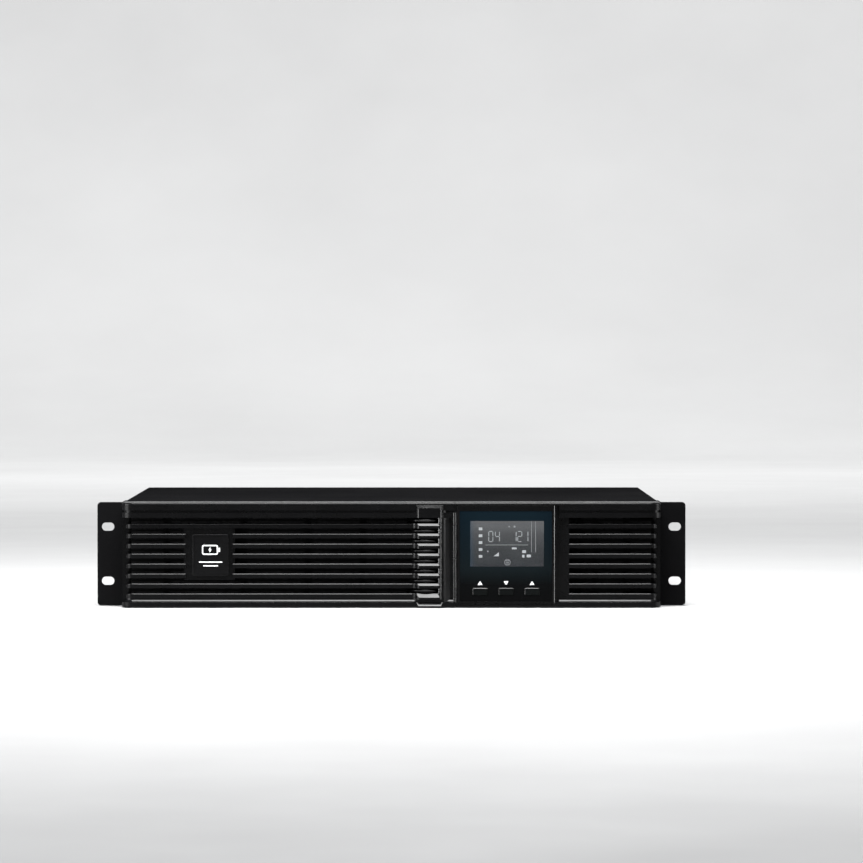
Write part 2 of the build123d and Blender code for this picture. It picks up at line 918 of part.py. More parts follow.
with BuildPart() as bay_partition:
    block(bay_right_x + 1.0, bay_right_x + 2.0, plate_back_y + 0.2, 150.0, floor_top, 83.0)
    block(bay_right_x + 1.0, bay_right_x + 10.0, plate_back_y + 0.2, 150.0, floor_top, floor_top + 1.0)
bay_partition.part.label = "bay_partition"
export_step(bay_partition.part, "parts/bay_partition.step")

with BuildPart() as tray_glides:
    for x in (-185.0, -104.0, -23.0):
        block(x - 7, x + 7, plate_back_y + 3, 130.0, floor_top, 4.2)
tray_glides.part.label = "tray_glides"
export_step(tray_glides.part, "parts/tray_glides.step")

for side, name in ((-1, "ear_left"), (1, "ear_right")):
    with BuildPart() as ear:
        outer = side * overall_width / 2
        inner = side * body_half
        fold = side * (body_half + ear_thick)
        block(
            min(inner, outer),
            max(inner, outer),
            ear_front_y,
            ear_front_y + ear_thick,
            ear_low_z,
            ear_high_z,
        )
        block(min(inner, fold), max(inner, fold), ear_front_y, -122.0, ear_low_z, ear_high_z)
        uprights = ear.edges().filter_by(Axis.Z)
        fillet(uprights.sort_by_distance((fold, ear_front_y + ear_thick, 43))[0], 1.5)
        rounded = ear.edges().filter_by(Axis.Y).filter_by(lambda e: abs((e @ 0.5).X - outer) < 0.01)
        fillet(rounded, 3.0)
        rounded = ear.edges().filter_by(Axis.X).filter_by(lambda e: abs((e @ 0.5).Y + 122.0) < 0.01)
        fillet(rounded, 8.0)
        with BuildSketch(wall_plane(ear_front_y)):
            with Locations((side * ear_slot_x, (ear_low_z + ear_high_z) / 2)):
                with GridLocations(10, ear_slot_spacing_z, 1, 2):
                    SlotOverall(10.3, 6.8)
        extrude(amount=-ear_thick * 2, mode=Mode.SUBTRACT)
        for y in ear_screw_ys:
            for z in ear_screw_zs:
                with Locations(facing(fold, y, z, (side, 0, 0))):
                    CounterSinkHole(1.8, 3.4, 4.0)
    ear.part.label = name
    export_step(ear.part, f"parts/{name}.step")

# ================================================================ battery tray
battery_top_z = tray_low_z + tray_sheet + battery_height
gap_x = (tray_left_x + tray_right_x) / 2
flange_left_x = -213.3
flange_right_x = 6.5
battery_front_y = plate_y + 4.0

with BuildPart() as battery_tray:
    block(tray_left_x, tray_right_x, flange_front_y, tray_rear_y, tray_low_z, tray_low_z + tray_sheet)
    for x in (tray_left_x, tray_right_x - tray_sheet):
        block(x, x + tray_sheet, flange_front_y, tray_rear_y, tray_low_z, tray_side_high_z)
    block(
        tray_left_x,
        tray_right_x,
        tray_rear_y - tray_sheet,
        tray_rear_y,
        tray_low_z,
        tray_side_high_z,
    )
    block(flange_left_x, flange_right_x, flange_front_y, plate_y, 4.5, 81.0)
    # Lead hole and screw holes
    with Locations(facing(gap_x, flange_front_y, socket_z, (0, -1, 0))):
        Hole(7.0, 3.0)
    for x, z in thumb_points:
        with Locations(facing(x, flange_front_y, z, (0, -1, 0))):
            Hole(1.7, 3.0)
battery_tray.part.label = "battery_tray"
export_step(battery_tray.part, "parts/battery_tray.step")

left_battery_x = tray_left_x + tray_sheet + 0.2
right_battery_x = tray_right_x - tray_sheet - 0.2 - battery_width
rear_battery_y = battery_front_y + battery_length + 1.5
battery_places = [
    ("battery_front_left", left_battery_x, battery_front_y, 1),
    ("battery_front_right", right_battery_x, battery_front_y, -1),
    ("battery_rear_left", left_battery_x, rear_battery_y, 1),
    ("battery_rear_right", right_battery_x, rear_battery_y, -1),
]
for name, x, y, toward_gap in battery_places:
    with BuildPart() as battery:
        low_z = tray_low_z + tray_sheet
        block(x, x + battery_width, y, y + battery_length, low_z, low_z + battery_height)
        fillet(battery.edges().filter_by(Axis.X), 2.0)
        # Joint line where the lid meets the case, and the recess round the valves
        lid_x = x + battery_width - 10 if toward_gap > 0 else x + 10
        block(
            lid_x - 0.5,
            lid_x + 0.5,
            y - 1,
            y + 0.6,
            low_z,
            low_z + battery_height,
            mode=Mode.SUBTRACT,
        )
        block(
            lid_x - 0.5,
            lid_x + 0.5,
            y - 1,
            y + battery_length + 1,
            low_z + battery_height - 0.6,
            low_z + battery_height + 1,
            mode=Mode.SUBTRACT,
        )
    battery.part.label = name
    export_step(battery.part, f"parts/{name}.step")

# Blade terminals in the gap between the two rows, two on each battery
with BuildPart() as battery_terminals:
    for name, x, y, toward_gap in battery_places:
        face_x = x + battery_width if toward_gap > 0 else x
        tip_x = face_x + toward_gap * 5.0
        level = tray_low_z + (54.0 if toward_gap > 0 else 20.0)
        for dy in (14.0, battery_length - 14.0):
            block(
                min(face_x, tip_x),
                max(face_x, tip_x),
                y + dy - 3.2,
                y + dy + 3.2,
                level,
                level + 0.8,
            )
battery_terminals.part.label = "battery_terminals"
export_step(battery_terminals.part, "parts/battery_terminals.step")

with BuildPart() as lead_grommet:
    with Locations(facing(gap_x, flange_front_y + tray_sheet / 2, socket_z, (0, -1, 0))):
        Cylinder(6.9, tray_sheet)
    with Locations(facing(gap_x, flange_front_y - 0.8, socket_z, (0, -1, 0))):
        Cylinder(8.5, 1.6)
    with Locations(facing(gap_x, plate_y + 0.8, socket_z, (0, -1, 0))):
        Cylinder(8.0, 1.6)
    for dz in (-3.0, 3.0):
        with Locations(facing(gap_x, plate_y + 5, socket_z + dz, (0, 1, 0))):
            Hole(2.0, 20.0)
lead_grommet.part.label = "lead_grommet"
export_step(lead_grommet.part, "parts/lead_grommet.step")

# Insulated links that put the four batteries in series
left_level = tray_low_z + 54.4
right_level = tray_low_z + 20.4
left_tip_x = left_battery_x + battery_width + 5.0
right_tip_x = right_battery_x - 5.0
with BuildPart() as series_links:
    for tip_x, level in ((left_tip_x, left_level), (right_tip_x, right_level)):
        block(
            tip_x - 2.2,
            tip_x - 0.4,
            rear_battery_y - 16.0,
            rear_battery_y + 15.0,
            level + 0.4,
            level + 4.4,
        )
    block(
        right_tip_x + 0.4,
        right_tip_x + 2.4,
        rear_battery_y + battery_length - 16.0,
        rear_battery_y + battery_length - 12.0,
        right_level + 0.4,
        left_level - 0.4,
    )

# Leads from the pack, through the grommet and along the flange to the plug
lead_r = 1.9
lead_y = -183.0
plug_front_y = -178.0
lead_start_y = -162.0
for name, dz in (("battery_lead_red", 3.0), ("battery_lead_black", -3.0)):
    z = socket_z + dz
    lead = tube(
        [
            (gap_x, lead_start_y, z),
            (gap_x, lead_y, z),
            (socket_x, lead_y, z),
            (socket_x, plug_front_y, z),
        ],
        4.5,
        lead_r,
    )
    with BuildPart() as battery_lead:
        add(lead)
        if name == "battery_lead_black":
            add(series_links.part)
    battery_lead.part.label = name
    export_step(battery_lead.part, f"parts/{name}.step")

with BuildPart() as battery_plug:
    block(socket_x - 11, socket_x + 11, plug_front_y, -152.0, socket_z - 7.5, socket_z + 7.5)
    chamfer(battery_plug.edges().filter_by(Axis.Y), 1.5)
    for i in range(3):
        y = plug_front_y + 1.0 + 1.1 * i
        block(
            socket_x - 12,
            socket_x - 10.5,
            y,
            y + 0.5,
            socket_z - 8,
            socket_z + 8,
            mode=Mode.SUBTRACT,
        )
        block(
            socket_x + 10.5,
            socket_x + 12,
            y,
            y + 0.5,
            socket_z - 8,
            socket_z + 8,
            mode=Mode.SUBTRACT,
        )
battery_plug.part.label = "battery_plug"
export_step(battery_plug.part, "parts/battery_plug.step")

# Sockets on the front plate: the battery plug and the display board's plug meet them blind
with BuildPart() as plate_sockets:
    block(socket_x - 14.5, socket_x + 14.5, plate_back_y, -148.0, socket_z - 11, socket_z + 11)
    block(socket_x - 12.5, socket_x + 12.5, plate_y, plate_back_y, socket_z - 9, socket_z + 9)
    block(
        socket_x - 11.5,
        socket_x + 11.5,
        plate_y - 1,
        -151.5,
        socket_z - 8,
        socket_z + 8,
        mode=Mode.SUBTRACT,
    )
    block(module_x - 11.5, module_x + 11.5, -179.8, plate_y, 38.3, 47.7)
    block(module_x - 9.3, module_x + 9.3, -180.8, plate_y - 1.2, 40.2, 45.8, mode=Mode.SUBTRACT)
plate_sockets.part.label = "plate_sockets"
export_step(plate_sockets.part, "parts/plate_sockets.step")

handle_reach_y = -185.5
handle_r = 2.5
with BuildPart() as tray_handle:
    add(
        tube(
            [
                (-165.0, flange_front_y, 20.0),
                (-165.0, handle_reach_y, 20.0),
                (-125.0, handle_reach_y, 20.0),
                (-125.0, flange_front_y, 20.0),
            ],
            5.0,
            handle_r,
        )
    )
tray_handle.part.label = "tray_handle"
export_step(tray_handle.part, "parts/tray_handle.step")

with BuildPart() as thumbscrews:
    for x, z in thumb_points:
        with Locations(facing(x, flange_front_y - 3.5, z, (0, 1, 0))):
            Cylinder(3.4, 7.0)
        with Locations(facing(x, flange_front_y + 2.0, z, (0, 1, 0))):
            Cylinder(1.5, 4.0)
        with Locations(facing(x, flange_front_y - 7.0, z, (0, 1, 0))):
            Box(4.4, 0.9, 1.6, mode=Mode.SUBTRACT)
thumbscrews.part.label = "thumbscrews"
export_step(thumbscrews.part, "parts/thumbscrews.step")

# ================================================================ electronics
board_low_z = board_top_z - board_thick
board_left_x = 6.0
board_right_x = 112.0
board_front = -140.0
board_rear = 165.0

with BuildPart() as main_board:
    block(board_left_x, board_right_x, board_front, board_rear, board_low_z, board_top_z)
    for x, y in standoff_points:
        with Locations((x, y, board_top_z)):
            Hole(1.7, board_thick)
main_board.part.label = "main_board"
export_step(main_board.part, "parts/main_board.step")

# Finned heat sinks, each a base with upright fins
heat_sink_ys = [-120.0, 30.0]
sink_left_x = 30.0
sink_right_x = 68.0
with BuildPart() as heat_sinks:
    for y0 in heat_sink_ys:
        block(sink_left_x, sink_right_x, y0, y0 + 90.0, board_top_z, board_top_z + 5.0)
        for i in range(7):
            x = sink_left_x + 6.0 * i
            block(x, x + 2.0, y0, y0 + 90.0, board_top_z + 5.0, board_top_z + 45.0)
heat_sinks.part.label = "heat_sinks"
export_step(heat_sinks.part, "parts/heat_sinks.step")

with BuildPart() as capacitors:
    for x, y in [(88.0, -108.0), (88.0, -80.0), (88.0, -52.0), (88.0, -24.0)]:
        with Locations((x, y, board_top_z + 21.0)):
            Cylinder(12.5, 42.0)
    fillet(capacitors.edges().group_by(Axis.Z)[-1], 1.2)
capacitors.part.label = "capacitors"
export_step(capacitors.part, "parts/capacitors.step")

# Transistors on the heat sinks, relays and fuses
with BuildPart() as power_components:
    for y in (12.0, 44.0, 76.0, 108.0):
        block(78.0, 106.0, y + 8, y + 28.0, board_top_z, board_top_z + 24.0)
    fillet(power_components.edges().filter_by(Axis.Z), 0.8)
    for y0 in heat_sink_ys:
        for i in range(4):
            y = y0 + 9.0 + 21.0 * i
            block(sink_right_x, sink_right_x + 4.6, y, y + 15.0, board_top_z + 3.0, board_top_z + 23.0)
            for dy in (3.0, 7.5, 12.0):
                block(
                    sink_right_x + 2.0,
                    sink_right_x + 2.8,
                    y + dy - 0.5,
                    y + dy + 0.5,
                    board_top_z,
                    board_top_z + 3.0,
                )
    for y in (142.0, 152.0):
        block(76.0, 98.0, y - 3.5, y + 3.5, board_top_z, board_top_z + 5.0)
        block(78.0, 96.0, y - 2.0, y + 2.0, board_top_z + 5.0, board_top_z + 17.0)
power_components.part.label = "power_components"
export_step(power_components.part, "parts/power_components.step")

with BuildPart() as filter_choke:
    with Locations((40.0, 144.0, board_top_z + 8.0)):
        Torus(12.0, 7.0)
    with Locations((40.0, 144.0, board_top_z + 0.75)):
        Cylinder(16.0, 1.5)
filter_choke.part.label = "filter_choke"
export_step(filter_choke.part, "parts/filter_choke.step")

with BuildPart() as control_board:
    block(18.0, 19.6, -110.0, 60.0, board_top_z, board_top_z + 55.0)
    for i in range(5):
        y = -95.0 + 32.0 * i
        block(19.6, 22.0, y, y + 14.0, board_top_z + 20.0, board_top_z + 34.0)
    block(19.6, 25.0, -104.0, -60.0, board_top_z + 42.0, board_top_z + 52.0)
control_board.part.label = "control_board"
export_step(control_board.part, "parts/control_board.step")

# Transformer: laminated core with two windows, its coil through them, and a strap that bolts it down
core_x = 166.0
core_y = 45.0
core_half_x = 45.0
core_half_y = 24.0
core_low_z = floor_top + 2.0
core_high_z = core_low_z + 72.0

with BuildPart() as transformer_core:
    block(
        core_x - core_half_x,
        core_x + core_half_x,
        core_y - core_half_y,
        core_y + core_half_y,
        core_low_z,
        core_high_z,
    )
    for side in (-1, 1):
        block(
            core_x + min(side * 15.0, side * 32.0),
            core_x + max(side * 15.0, side * 32.0),
            core_y - core_half_y - 1,
            core_y + core_half_y + 1,
            core_low_z + 14.0,
            core_high_z - 14.0,
            mode=Mode.SUBTRACT,
        )
transformer_core.part.label = "transformer_core"
export_step(transformer_core.part, "parts/transformer_core.step")

with BuildPart() as transformer_coil:
    block(
        core_x - 31.0,
        core_x + 31.0,
        core_y - 42.0,
        core_y + 42.0,
        core_low_z + 15.0,
        core_high_z - 15.0,
    )
    fillet(transformer_coil.edges().filter_by(Axis.Z), 9.0)
    block(
        core_x - 15.3,
        core_x + 15.3,
        core_y - core_half_y - 0.3,
        core_y + core_half_y + 0.3,
        core_low_z,
        core_high_z,
        mode=Mode.SUBTRACT,
    )
transformer_coil.part.label = "transformer_coil"
export_step(transformer_coil.part, "parts/transformer_coil.step")

with BuildPart() as transformer_bracket:
    block(core_x - 50.0, core_x + 50.0, core_y - 20.0, core_y + 20.0, floor_top, core_low_z)
    for side in (-1, 1):
        x = core_x + side * core_half_x
        block(
            min(x, x + side * 2),
            max(x, x + side * 2),
            core_y - 12.0,
            core_y + 12.0,
            core_low_z,
            core_high_z + 2.0,
        )
        for dy in (-16.0, 16.0):
            with Locations((core_x + side * 47.5, core_y + dy, core_low_z)):
                add(screw(2.2, 2.0, 1.0, 1.0))
    block(
        core_x - core_half_x,
        core_x + core_half_x,
        core_y - 12.0,
        core_y + 12.0,
        core_high_z,
        core_high_z + 2.0,
    )
transformer_bracket.part.label = "transformer_bracket"
export_step(transformer_bracket.part, "parts/transformer_bracket.step")

# ================================================================ cooling fan
fan_front_y = rear_in_y - fan_depth
hub_r = 17.5
bearing_front_y = rear_in_y - 4.5

with BuildPart() as fan_frame:
    block(
        fan_x - fan_size / 2,
        fan_x + fan_size / 2,
        fan_front_y,
        rear_in_y,
        fan_z - fan_size / 2,
        fan_z + fan_size / 2,
    )
    fillet(fan_frame.edges().filter_by(Axis.Y), 4.0)
    with Locations(facing(fan_x, fan_front_y + fan_depth / 2, fan_z, (0, 1, 0))):
        Cylinder(fan_bore_r, fan_depth, mode=Mode.SUBTRACT)
        with GridLocations(71.5, 71.5, 2, 2):
            Cylinder(2.2, fan_depth, mode=Mode.SUBTRACT)
    with Locations(facing(fan_x, bearing_front_y + 1.5, fan_z, (0, 1, 0))):
        Cylinder(hub_r, 3.0)
        for angle in (45, 135):
            Box(2 * fan_bore_r + 1, 4.0, 3.0, rotation=(0, 0, angle))
    with Locations(facing(fan_x, bearing_front_y + 1.5, fan_z, (0, 1, 0))):
        Cylinder(shaft_r + shaft_gap, 5.0, mode=Mode.SUBTRACT)
fan_frame.part.label = "fan_frame"
export_step(fan_frame.part, "parts/fan_frame.step")

blade_count = 7
blade_tip_r = 37.3
rotor_rear_y = bearing_front_y - 0.5
rotor_front_y = fan_front_y + 2.0


def blade(angle):
    """One curved, pitched blade, reaching out from the hub at an angle round the fan's axis."""
    out = Vector(cos(radians(angle)), 0, sin(radians(angle)))
    root = Vector(fan_x, (rotor_front_y + rotor_rear_y) / 2, fan_z) + out * (hub_r - 1.0)
    with BuildPart() as made:
        with BuildSketch(Plane(origin=root, x_dir=(0, 1, 0), z_dir=out)) as section:
            with BuildLine():
                front = ThreePointArc((-8.0, -8.5), (1.2, -1.4), (8.0, 8.5))
                back = ThreePointArc((-7.2, -9.0), (2.4, -2.2), (8.0, 7.0))
                Line(front @ 0, back @ 0)
                Line(front @ 1, back @ 1)
            make_face()
        extrude(section.sketch, amount=blade_tip_r - hub_r + 3.0)
    return made.part


with BuildPart() as fan_rotor:
    for i in range(blade_count):
        add(blade(i * 360.0 / blade_count))
    with Locations(facing(fan_x, (rotor_front_y + rotor_rear_y) / 2, fan_z, (0, 1, 0))):
        Cylinder(blade_tip_r, rotor_rear_y - rotor_front_y, mode=Mode.INTERSECT)
        Cylinder(hub_r, rotor_rear_y - rotor_front_y)
    fillet(fan_rotor.faces().sort_by(Axis.Y)[0].edges().filter_by(GeomType.CIRCLE), 1.5)
    with Locations(facing(fan_x, (rotor_rear_y + bearing_front_y + 2.6) / 2, fan_z, (0, 1, 0))):
        Cylinder(shaft_r, bearing_front_y + 2.6 - rotor_rear_y)
fan_rotor.part.label = "fan_rotor"
export_step(fan_rotor.part, "parts/fan_rotor.step")

# Wire guard: rings welded on crossed bars that end in flat eyes
wire_r = 0.9
guard_thick = 2 * wire_r + 0.3
guard_y = rear_y + guard_thick / 2
with BuildPart() as fan_guard:
    for dx in (-1, 1):
        for dz in (-1, 1):
            with Locations(facing(fan_x + dx * 35.75, guard_y, fan_z + dz * 35.75, (0, 1, 0))):
                Cylinder(4.0, guard_thick)
    for angle in (45, 135):
        out = Vector(cos(radians(angle)), 0, sin(radians(angle)))
        with Locations(facing(fan_x, guard_y, fan_z, (out.X, 0, out.Z))):
            Cylinder(wire_r, 96.0)
    for ring_r in (10.0, 18.5, 27.0, 35.5):
        with Locations(facing(fan_x, guard_y + wire_r * 0.9, fan_z, (0, 1, 0))):
            Torus(ring_r, wire_r)
    for dx in (-1, 1):
        for dz in (-1, 1):
            with Locations(facing(fan_x + dx * 35.75, guard_y, fan_z + dz * 35.75, (0, 1, 0))):
                Cylinder(1.9, 4 * wire_r, mode=Mode.SUBTRACT)
fan_guard.part.label = "fan_guard"
export_step(fan_guard.part, "parts/fan_guard.step")

# ================================================================ rear panel
bank_xs = [84.0, 8.0]
bank_width = 66.0
bank_height = 56.0
outlet_pitch_x = 32.0
outlet_pitch_z = 25.0
inlet_x = -62.0
inlet_z = 58.0
breaker_z = 22.0
breaker_x = -74.0
earth_x = -48.0
earth_z = 22.0
network_x = -112.0
network_z = 24.0
serial_x = -112.0
serial_z = 58.0
usb_x = -140.0
usb_z = 24.0
stop_x = -146.0
stop_z = 58.0
option_x = -185.0
option_z = 43.0

with BuildPart() as rear_panel:
    block(-wall_in, wall_in, rear_in_y, rear_y, floor_top, cover_under)
    with BuildSketch(wall_plane(rear_y + 1)):
        with Locations((fan_x, fan_z)):
            Circle(fan_bore_r)
            with GridLocations(71.5, 71.5, 2, 2):
                Circle(1.9)
        for x in bank_xs:
            with Locations((x, 43.0)):
                Rectangle(bank_width - 5.6, bank_height - 5.6)
        with Locations((inlet_x, inlet_z)):
            Rectangle(28.2, 20.2)
            with GridLocations(40.0, 10.0, 2, 1):
                Circle(1.6)
        with Locations((breaker_x, breaker_z)):
            Circle(5.2)
        with Locations((earth_x, earth_z)):
            Circle(2.1)
        with Locations((network_x, network_z)):
            Rectangle(32.4, 14.4)
        with Locations((serial_x, serial_z)):
            Rectangle(18.6, 10.2)
            with GridLocations(25.0, 10.0, 2, 1):
                Circle(1.6)
        with Locations((usb_x, usb_z)):
            Rectangle(12.4, 11.2)
        with Locations((stop_x, stop_z)):
            Rectangle(13.4, 9.2)
        with Locations((option_x, option_z)):
            Rectangle(38.0, 44.0)
            with GridLocations(10.0, 54.0, 1, 2):
                Circle(1.6)
        for side in (-1, 1):
            for z in panel_screw_zs:
                with Locations((side * panel_screw_x, z)):
                    Circle(1.6)
    extrude(amount=sheet + 3, mode=Mode.SUBTRACT)
rear_panel.part.label = "rear_panel"
export_step(rear_panel.part, "parts/rear_panel.step")

outlet_flange = 1.5
for name, bank_x in (("outlet_bank_left", bank_xs[1]), ("outlet_bank_right", bank_xs[0])):
    with BuildPart() as outlet_bank:
        low_z = 43.0 - bank_height / 2
        block(
            bank_x - bank_width / 2,
            bank_x + bank_width / 2,
            rear_y,
            rear_y + outlet_flange,
            low_z,
            low_z + bank_height,
        )
        fillet(outlet_bank.edges().filter_by(Axis.Y), 2.0)
        block(
            bank_x - bank_width / 2 + 3,
            bank_x + bank_width / 2 - 3,
            rear_y - 24,
            rear_y,
            low_z + 3,
            low_z + bank_height - 3,
        )
        # Wells for the plugs round their islands, and three contact slots in each island
        with BuildSketch(wall_plane(rear_y + outlet_flange)):
            with Locations((bank_x, 43.0)):
                with GridLocations(outlet_pitch_x, outlet_pitch_z, 2, 2):
                    add(coupler_outline(28.0, 20.0, 5.4))
                    add(coupler_outline(24.0, 16.0, 4.6), mode=Mode.SUBTRACT)
        extrude(amount=16.0, mode=Mode.SUBTRACT)
        with BuildSketch(wall_plane(rear_y + outlet_flange)):
            with Locations((bank_x, 43.0)):
                with GridLocations(outlet_pitch_x, outlet_pitch_z, 2, 2):
                    with Locations((-7.0, -2.0), (7.0, -2.0), (0.0, 2.6)):
                        Rectangle(2.4, 4.6)
        extrude(amount=14.0, mode=Mode.SUBTRACT)
    outlet_bank.part.label = name
    export_step(outlet_bank.part, f"parts/{name}.step")

inlet_depth = 17.0
inlet_flange = 2.4
with BuildPart() as power_inlet:
    block(inlet_x - 25.0, inlet_x + 25.0, rear_y, rear_y + inlet_flange, inlet_z - 12.0, inlet_z + 12.0)
    fillet(power_inlet.edges().filter_by(Axis.Y), 6.0)
    block(inlet_x - 14.0, inlet_x + 14.0, rear_y - 22.0, rear_y, inlet_z - 10.0, inlet_z + 10.0)
    with BuildSketch(wall_plane(rear_y + inlet_flange)):
        with Locations((inlet_x, inlet_z)):
            add(coupler_outline(24.6, 16.6, 5.0))
    extrude(amount=inlet_depth, mode=Mode.SUBTRACT)
    for dx in (-20.0, 20.0):
        with Locations(facing(inlet_x + dx, rear_y + inlet_flange, inlet_z, (0, 1, 0))):
            Hole(1.6, 4.0)
power_inlet.part.label = "power_inlet"
export_step(power_inlet.part, "parts/power_inlet.step")

with BuildPart() as inlet_pins:
    pin_root_y = rear_y + inlet_flange - inlet_depth
    for dx, dz in ((-7.0, -2.0), (7.0, -2.0), (0.0, 2.6)):
        block(
            inlet_x + dx - 1,
            inlet_x + dx + 1,
            pin_root_y,
            pin_root_y + 15.0,
            inlet_z + dz - 2,
            inlet_z + dz + 2,
        )
    chamfer(inlet_pins.faces().group_by(Axis.Y)[-1].edges(), 0.4)
inlet_pins.part.label = "inlet_pins"
export_step(inlet_pins.part, "parts/inlet_pins.step")

# Breaker: threaded neck through the panel with its ring nut, and the button inside the neck
with BuildPart() as breaker:
    block(
        breaker_x - 8.0,
        breaker_x + 8.0,
        rear_in_y - 30.0,
        rear_in_y,
        breaker_z - 14.0,
        breaker_z + 14.0,
    )
    with Locations(facing(breaker_x, rear_y + 0.4, breaker_z, (0, 1, 0))):
        Cylinder(5.0, 3.2 + sheet)
    with BuildSketch(wall_plane(rear_y)):
        with Locations((breaker_x, breaker_z)):
            RegularPolygon(7.5, 6)
    extrude(amount=-1.6)
    with Locations(facing(breaker_x, rear_y, breaker_z, (0, 1, 0))):
        Cylinder(3.6, 20.0, mode=Mode.SUBTRACT)
breaker.part.label = "breaker"
export_step(breaker.part, "parts/breaker.step")

with BuildPart() as breaker_button:
    rear_most_y = overall_depth / 2
    with Locations(facing(breaker_x, (rear_y - 6.0 + rear_most_y) / 2, breaker_z, (0, 1, 0))):
        Cylinder(3.3, rear_most_y - rear_y + 6.0)
    fillet(breaker_button.faces().sort_by(Axis.Y)[-1].edges(), 0.7)
breaker_button.part.label = "breaker_button"
export_step(breaker_button.part, "parts/breaker_button.step")

with BuildPart() as earth_screw:
    with Locations(facing(earth_x, rear_y + 1.0, earth_z, (0, 1, 0))):
        Cylinder(5.0, 2.0)
    with Locations(facing(earth_x, rear_y - 6.0, earth_z, (0, 1, 0))):
        Cylinder(1.9, 12.0)
    fillet(earth_screw.faces().sort_by(Axis.Y)[-1].edges(), 0.6)
    block(
        earth_x - 3.6,
        earth_x + 3.6,
        rear_y + 1.2,
        rear_y + 3,
        earth_z - 0.6,
        earth_z + 0.6,
        mode=Mode.SUBTRACT,
    )
earth_screw.part.label = "earth_screw"
export_step(earth_screw.part, "parts/earth_screw.step")

# ---------------------------------------------------------------- communication board and its ports
port_board_y = rear_in_y - 20.0
with BuildPart() as port_board:
    block(-156.0, -92.0, port_board_y, port_board_y + board_thick, 8.0, 72.0)
port_board.part.label = "port_board"
export_step(port_board.part, "parts/port_board.step")

with BuildPart() as network_ports:
    block(
        network_x - 16.0,
        network_x + 16.0,
        port_board_y + board_thick,
        rear_y + 0.6,
        network_z - 7.0,
        network_z + 7.0,
    )
    for dx in (-7.8, 7.8):
        block(
            network_x + dx - 6.0,
            network_x + dx + 6.0,
            rear_y - 12.0,
            rear_y + 2,
            network_z - 4.0,
            network_z + 3.0,
            mode=Mode.SUBTRACT,
        )
        block(
            network_x + dx - 2.5,
            network_x + dx + 2.5,
            rear_y - 12.0,
            rear_y + 2,
            network_z - 6.0,
            network_z - 3.9,
            mode=Mode.SUBTRACT,
        )

with BuildPart() as serial_port:
    block(
        serial_x - 9.0,
        serial_x + 9.0,
        port_board_y + board_thick,
        rear_y,
        serial_z - 4.8,
        serial_z + 4.8,
    )
    with BuildSketch(wall_plane(rear_y)):
        with Locations((serial_x, serial_z)):
            RectangleRounded(31.0, 12.6, 1.0)
            with GridLocations(25.0, 10.0, 2, 1):
                Circle(1.6, mode=Mode.SUBTRACT)
    extrude(amount=-0.8)
    with BuildSketch(wall_plane(rear_y + 0.8)):
        with Locations((serial_x, serial_z)):
            Trapezoid(17.0, 8.4, 100, rotation=180)
    extrude(amount=-2.4)
    with BuildSketch(wall_plane(rear_y + 3.3)):
        with Locations((serial_x, serial_z)):
            Trapezoid(15.6, 7.2, 100, rotation=180)
    extrude(amount=7.0, mode=Mode.SUBTRACT)
    for row, count in ((1.4, 5), (-1.4, 4)):
        with Locations(facing(serial_x, rear_y - 1.5, serial_z + row, (0, 1, 0))):
            with GridLocations(2.7, 1.0, count, 1):
                Cylinder(0.5, 6.0)
    for dx in (-12.5, 12.5):
        with BuildSketch(wall_plane(rear_y + 0.8)):
            with Locations((serial_x + dx, serial_z)):
                RegularPolygon(2.7, 6)
        extrude(amount=-2.4)

with BuildPart() as usb_port:
    block(usb_x - 6.0, usb_x + 6.0, port_board_y + board_thick, rear_y + 0.6, usb_z - 5.4, usb_z + 5.4)
    block(
        usb_x - 4.3,
        usb_x + 4.3,
        rear_y - 9.0,
        rear_y + 2,
        usb_z - 4.0,
        usb_z + 4.0,
        mode=Mode.SUBTRACT,
    )
    for dx in (-4.3, 4.3):
        corner = usb_port.edges().filter_by(Axis.Y).sort_by_distance((usb_x + dx, rear_y, usb_z + 4.0))
        chamfer(corner[0], 1.0)
    block(usb_x - 2.7, usb_x + 2.7, rear_y - 9.0, rear_y - 0.6, usb_z - 1.5, usb_z + 1.5)

with BuildPart() as data_ports:
    add(network_ports.part)
    add(serial_port.part)
    add(usb_port.part)
data_ports.part.label = "data_ports"
export_step(data_ports.part, "parts/data_ports.step")

with BuildPart() as stop_terminal:
    block(
        stop_x - 6.5,
        stop_x + 6.5,
        port_board_y + board_thick,
        rear_y + 2.6,
        stop_z - 4.4,
        stop_z + 4.4,
    )
    for dx in (-3.0, 3.0):
        block(
            stop_x + dx - 1.6,
            stop_x + dx + 1.6,
            rear_y - 6,
            rear_y + 3,
            stop_z - 3.2,
            stop_z - 0.2,
            mode=Mode.SUBTRACT,
        )
        with Locations(facing(stop_x + dx, rear_y + 2.6, stop_z + 2.2, (0, 1, 0))):
            Cylinder(1.4, 4.0, mode=Mode.SUBTRACT)
stop_terminal.part.label = "stop_terminal"
export_step(stop_terminal.part, "parts/stop_terminal.step")

with BuildPart() as option_cover:
    block(option_x - 22.0, option_x + 22.0, rear_y, rear_y + 1.2, option_z - 31.0, option_z + 31.0)
    fillet(option_cover.edges().filter_by(Axis.Y), 1.0)
    for dz in (-27.0, 27.0):
        with Locations(facing(option_x, rear_y + 1.2, option_z + dz, (0, 1, 0))):
            Hole(1.6, 3.0)
option_cover.part.label = "option_cover"
export_step(option_cover.part, "parts/option_cover.step")

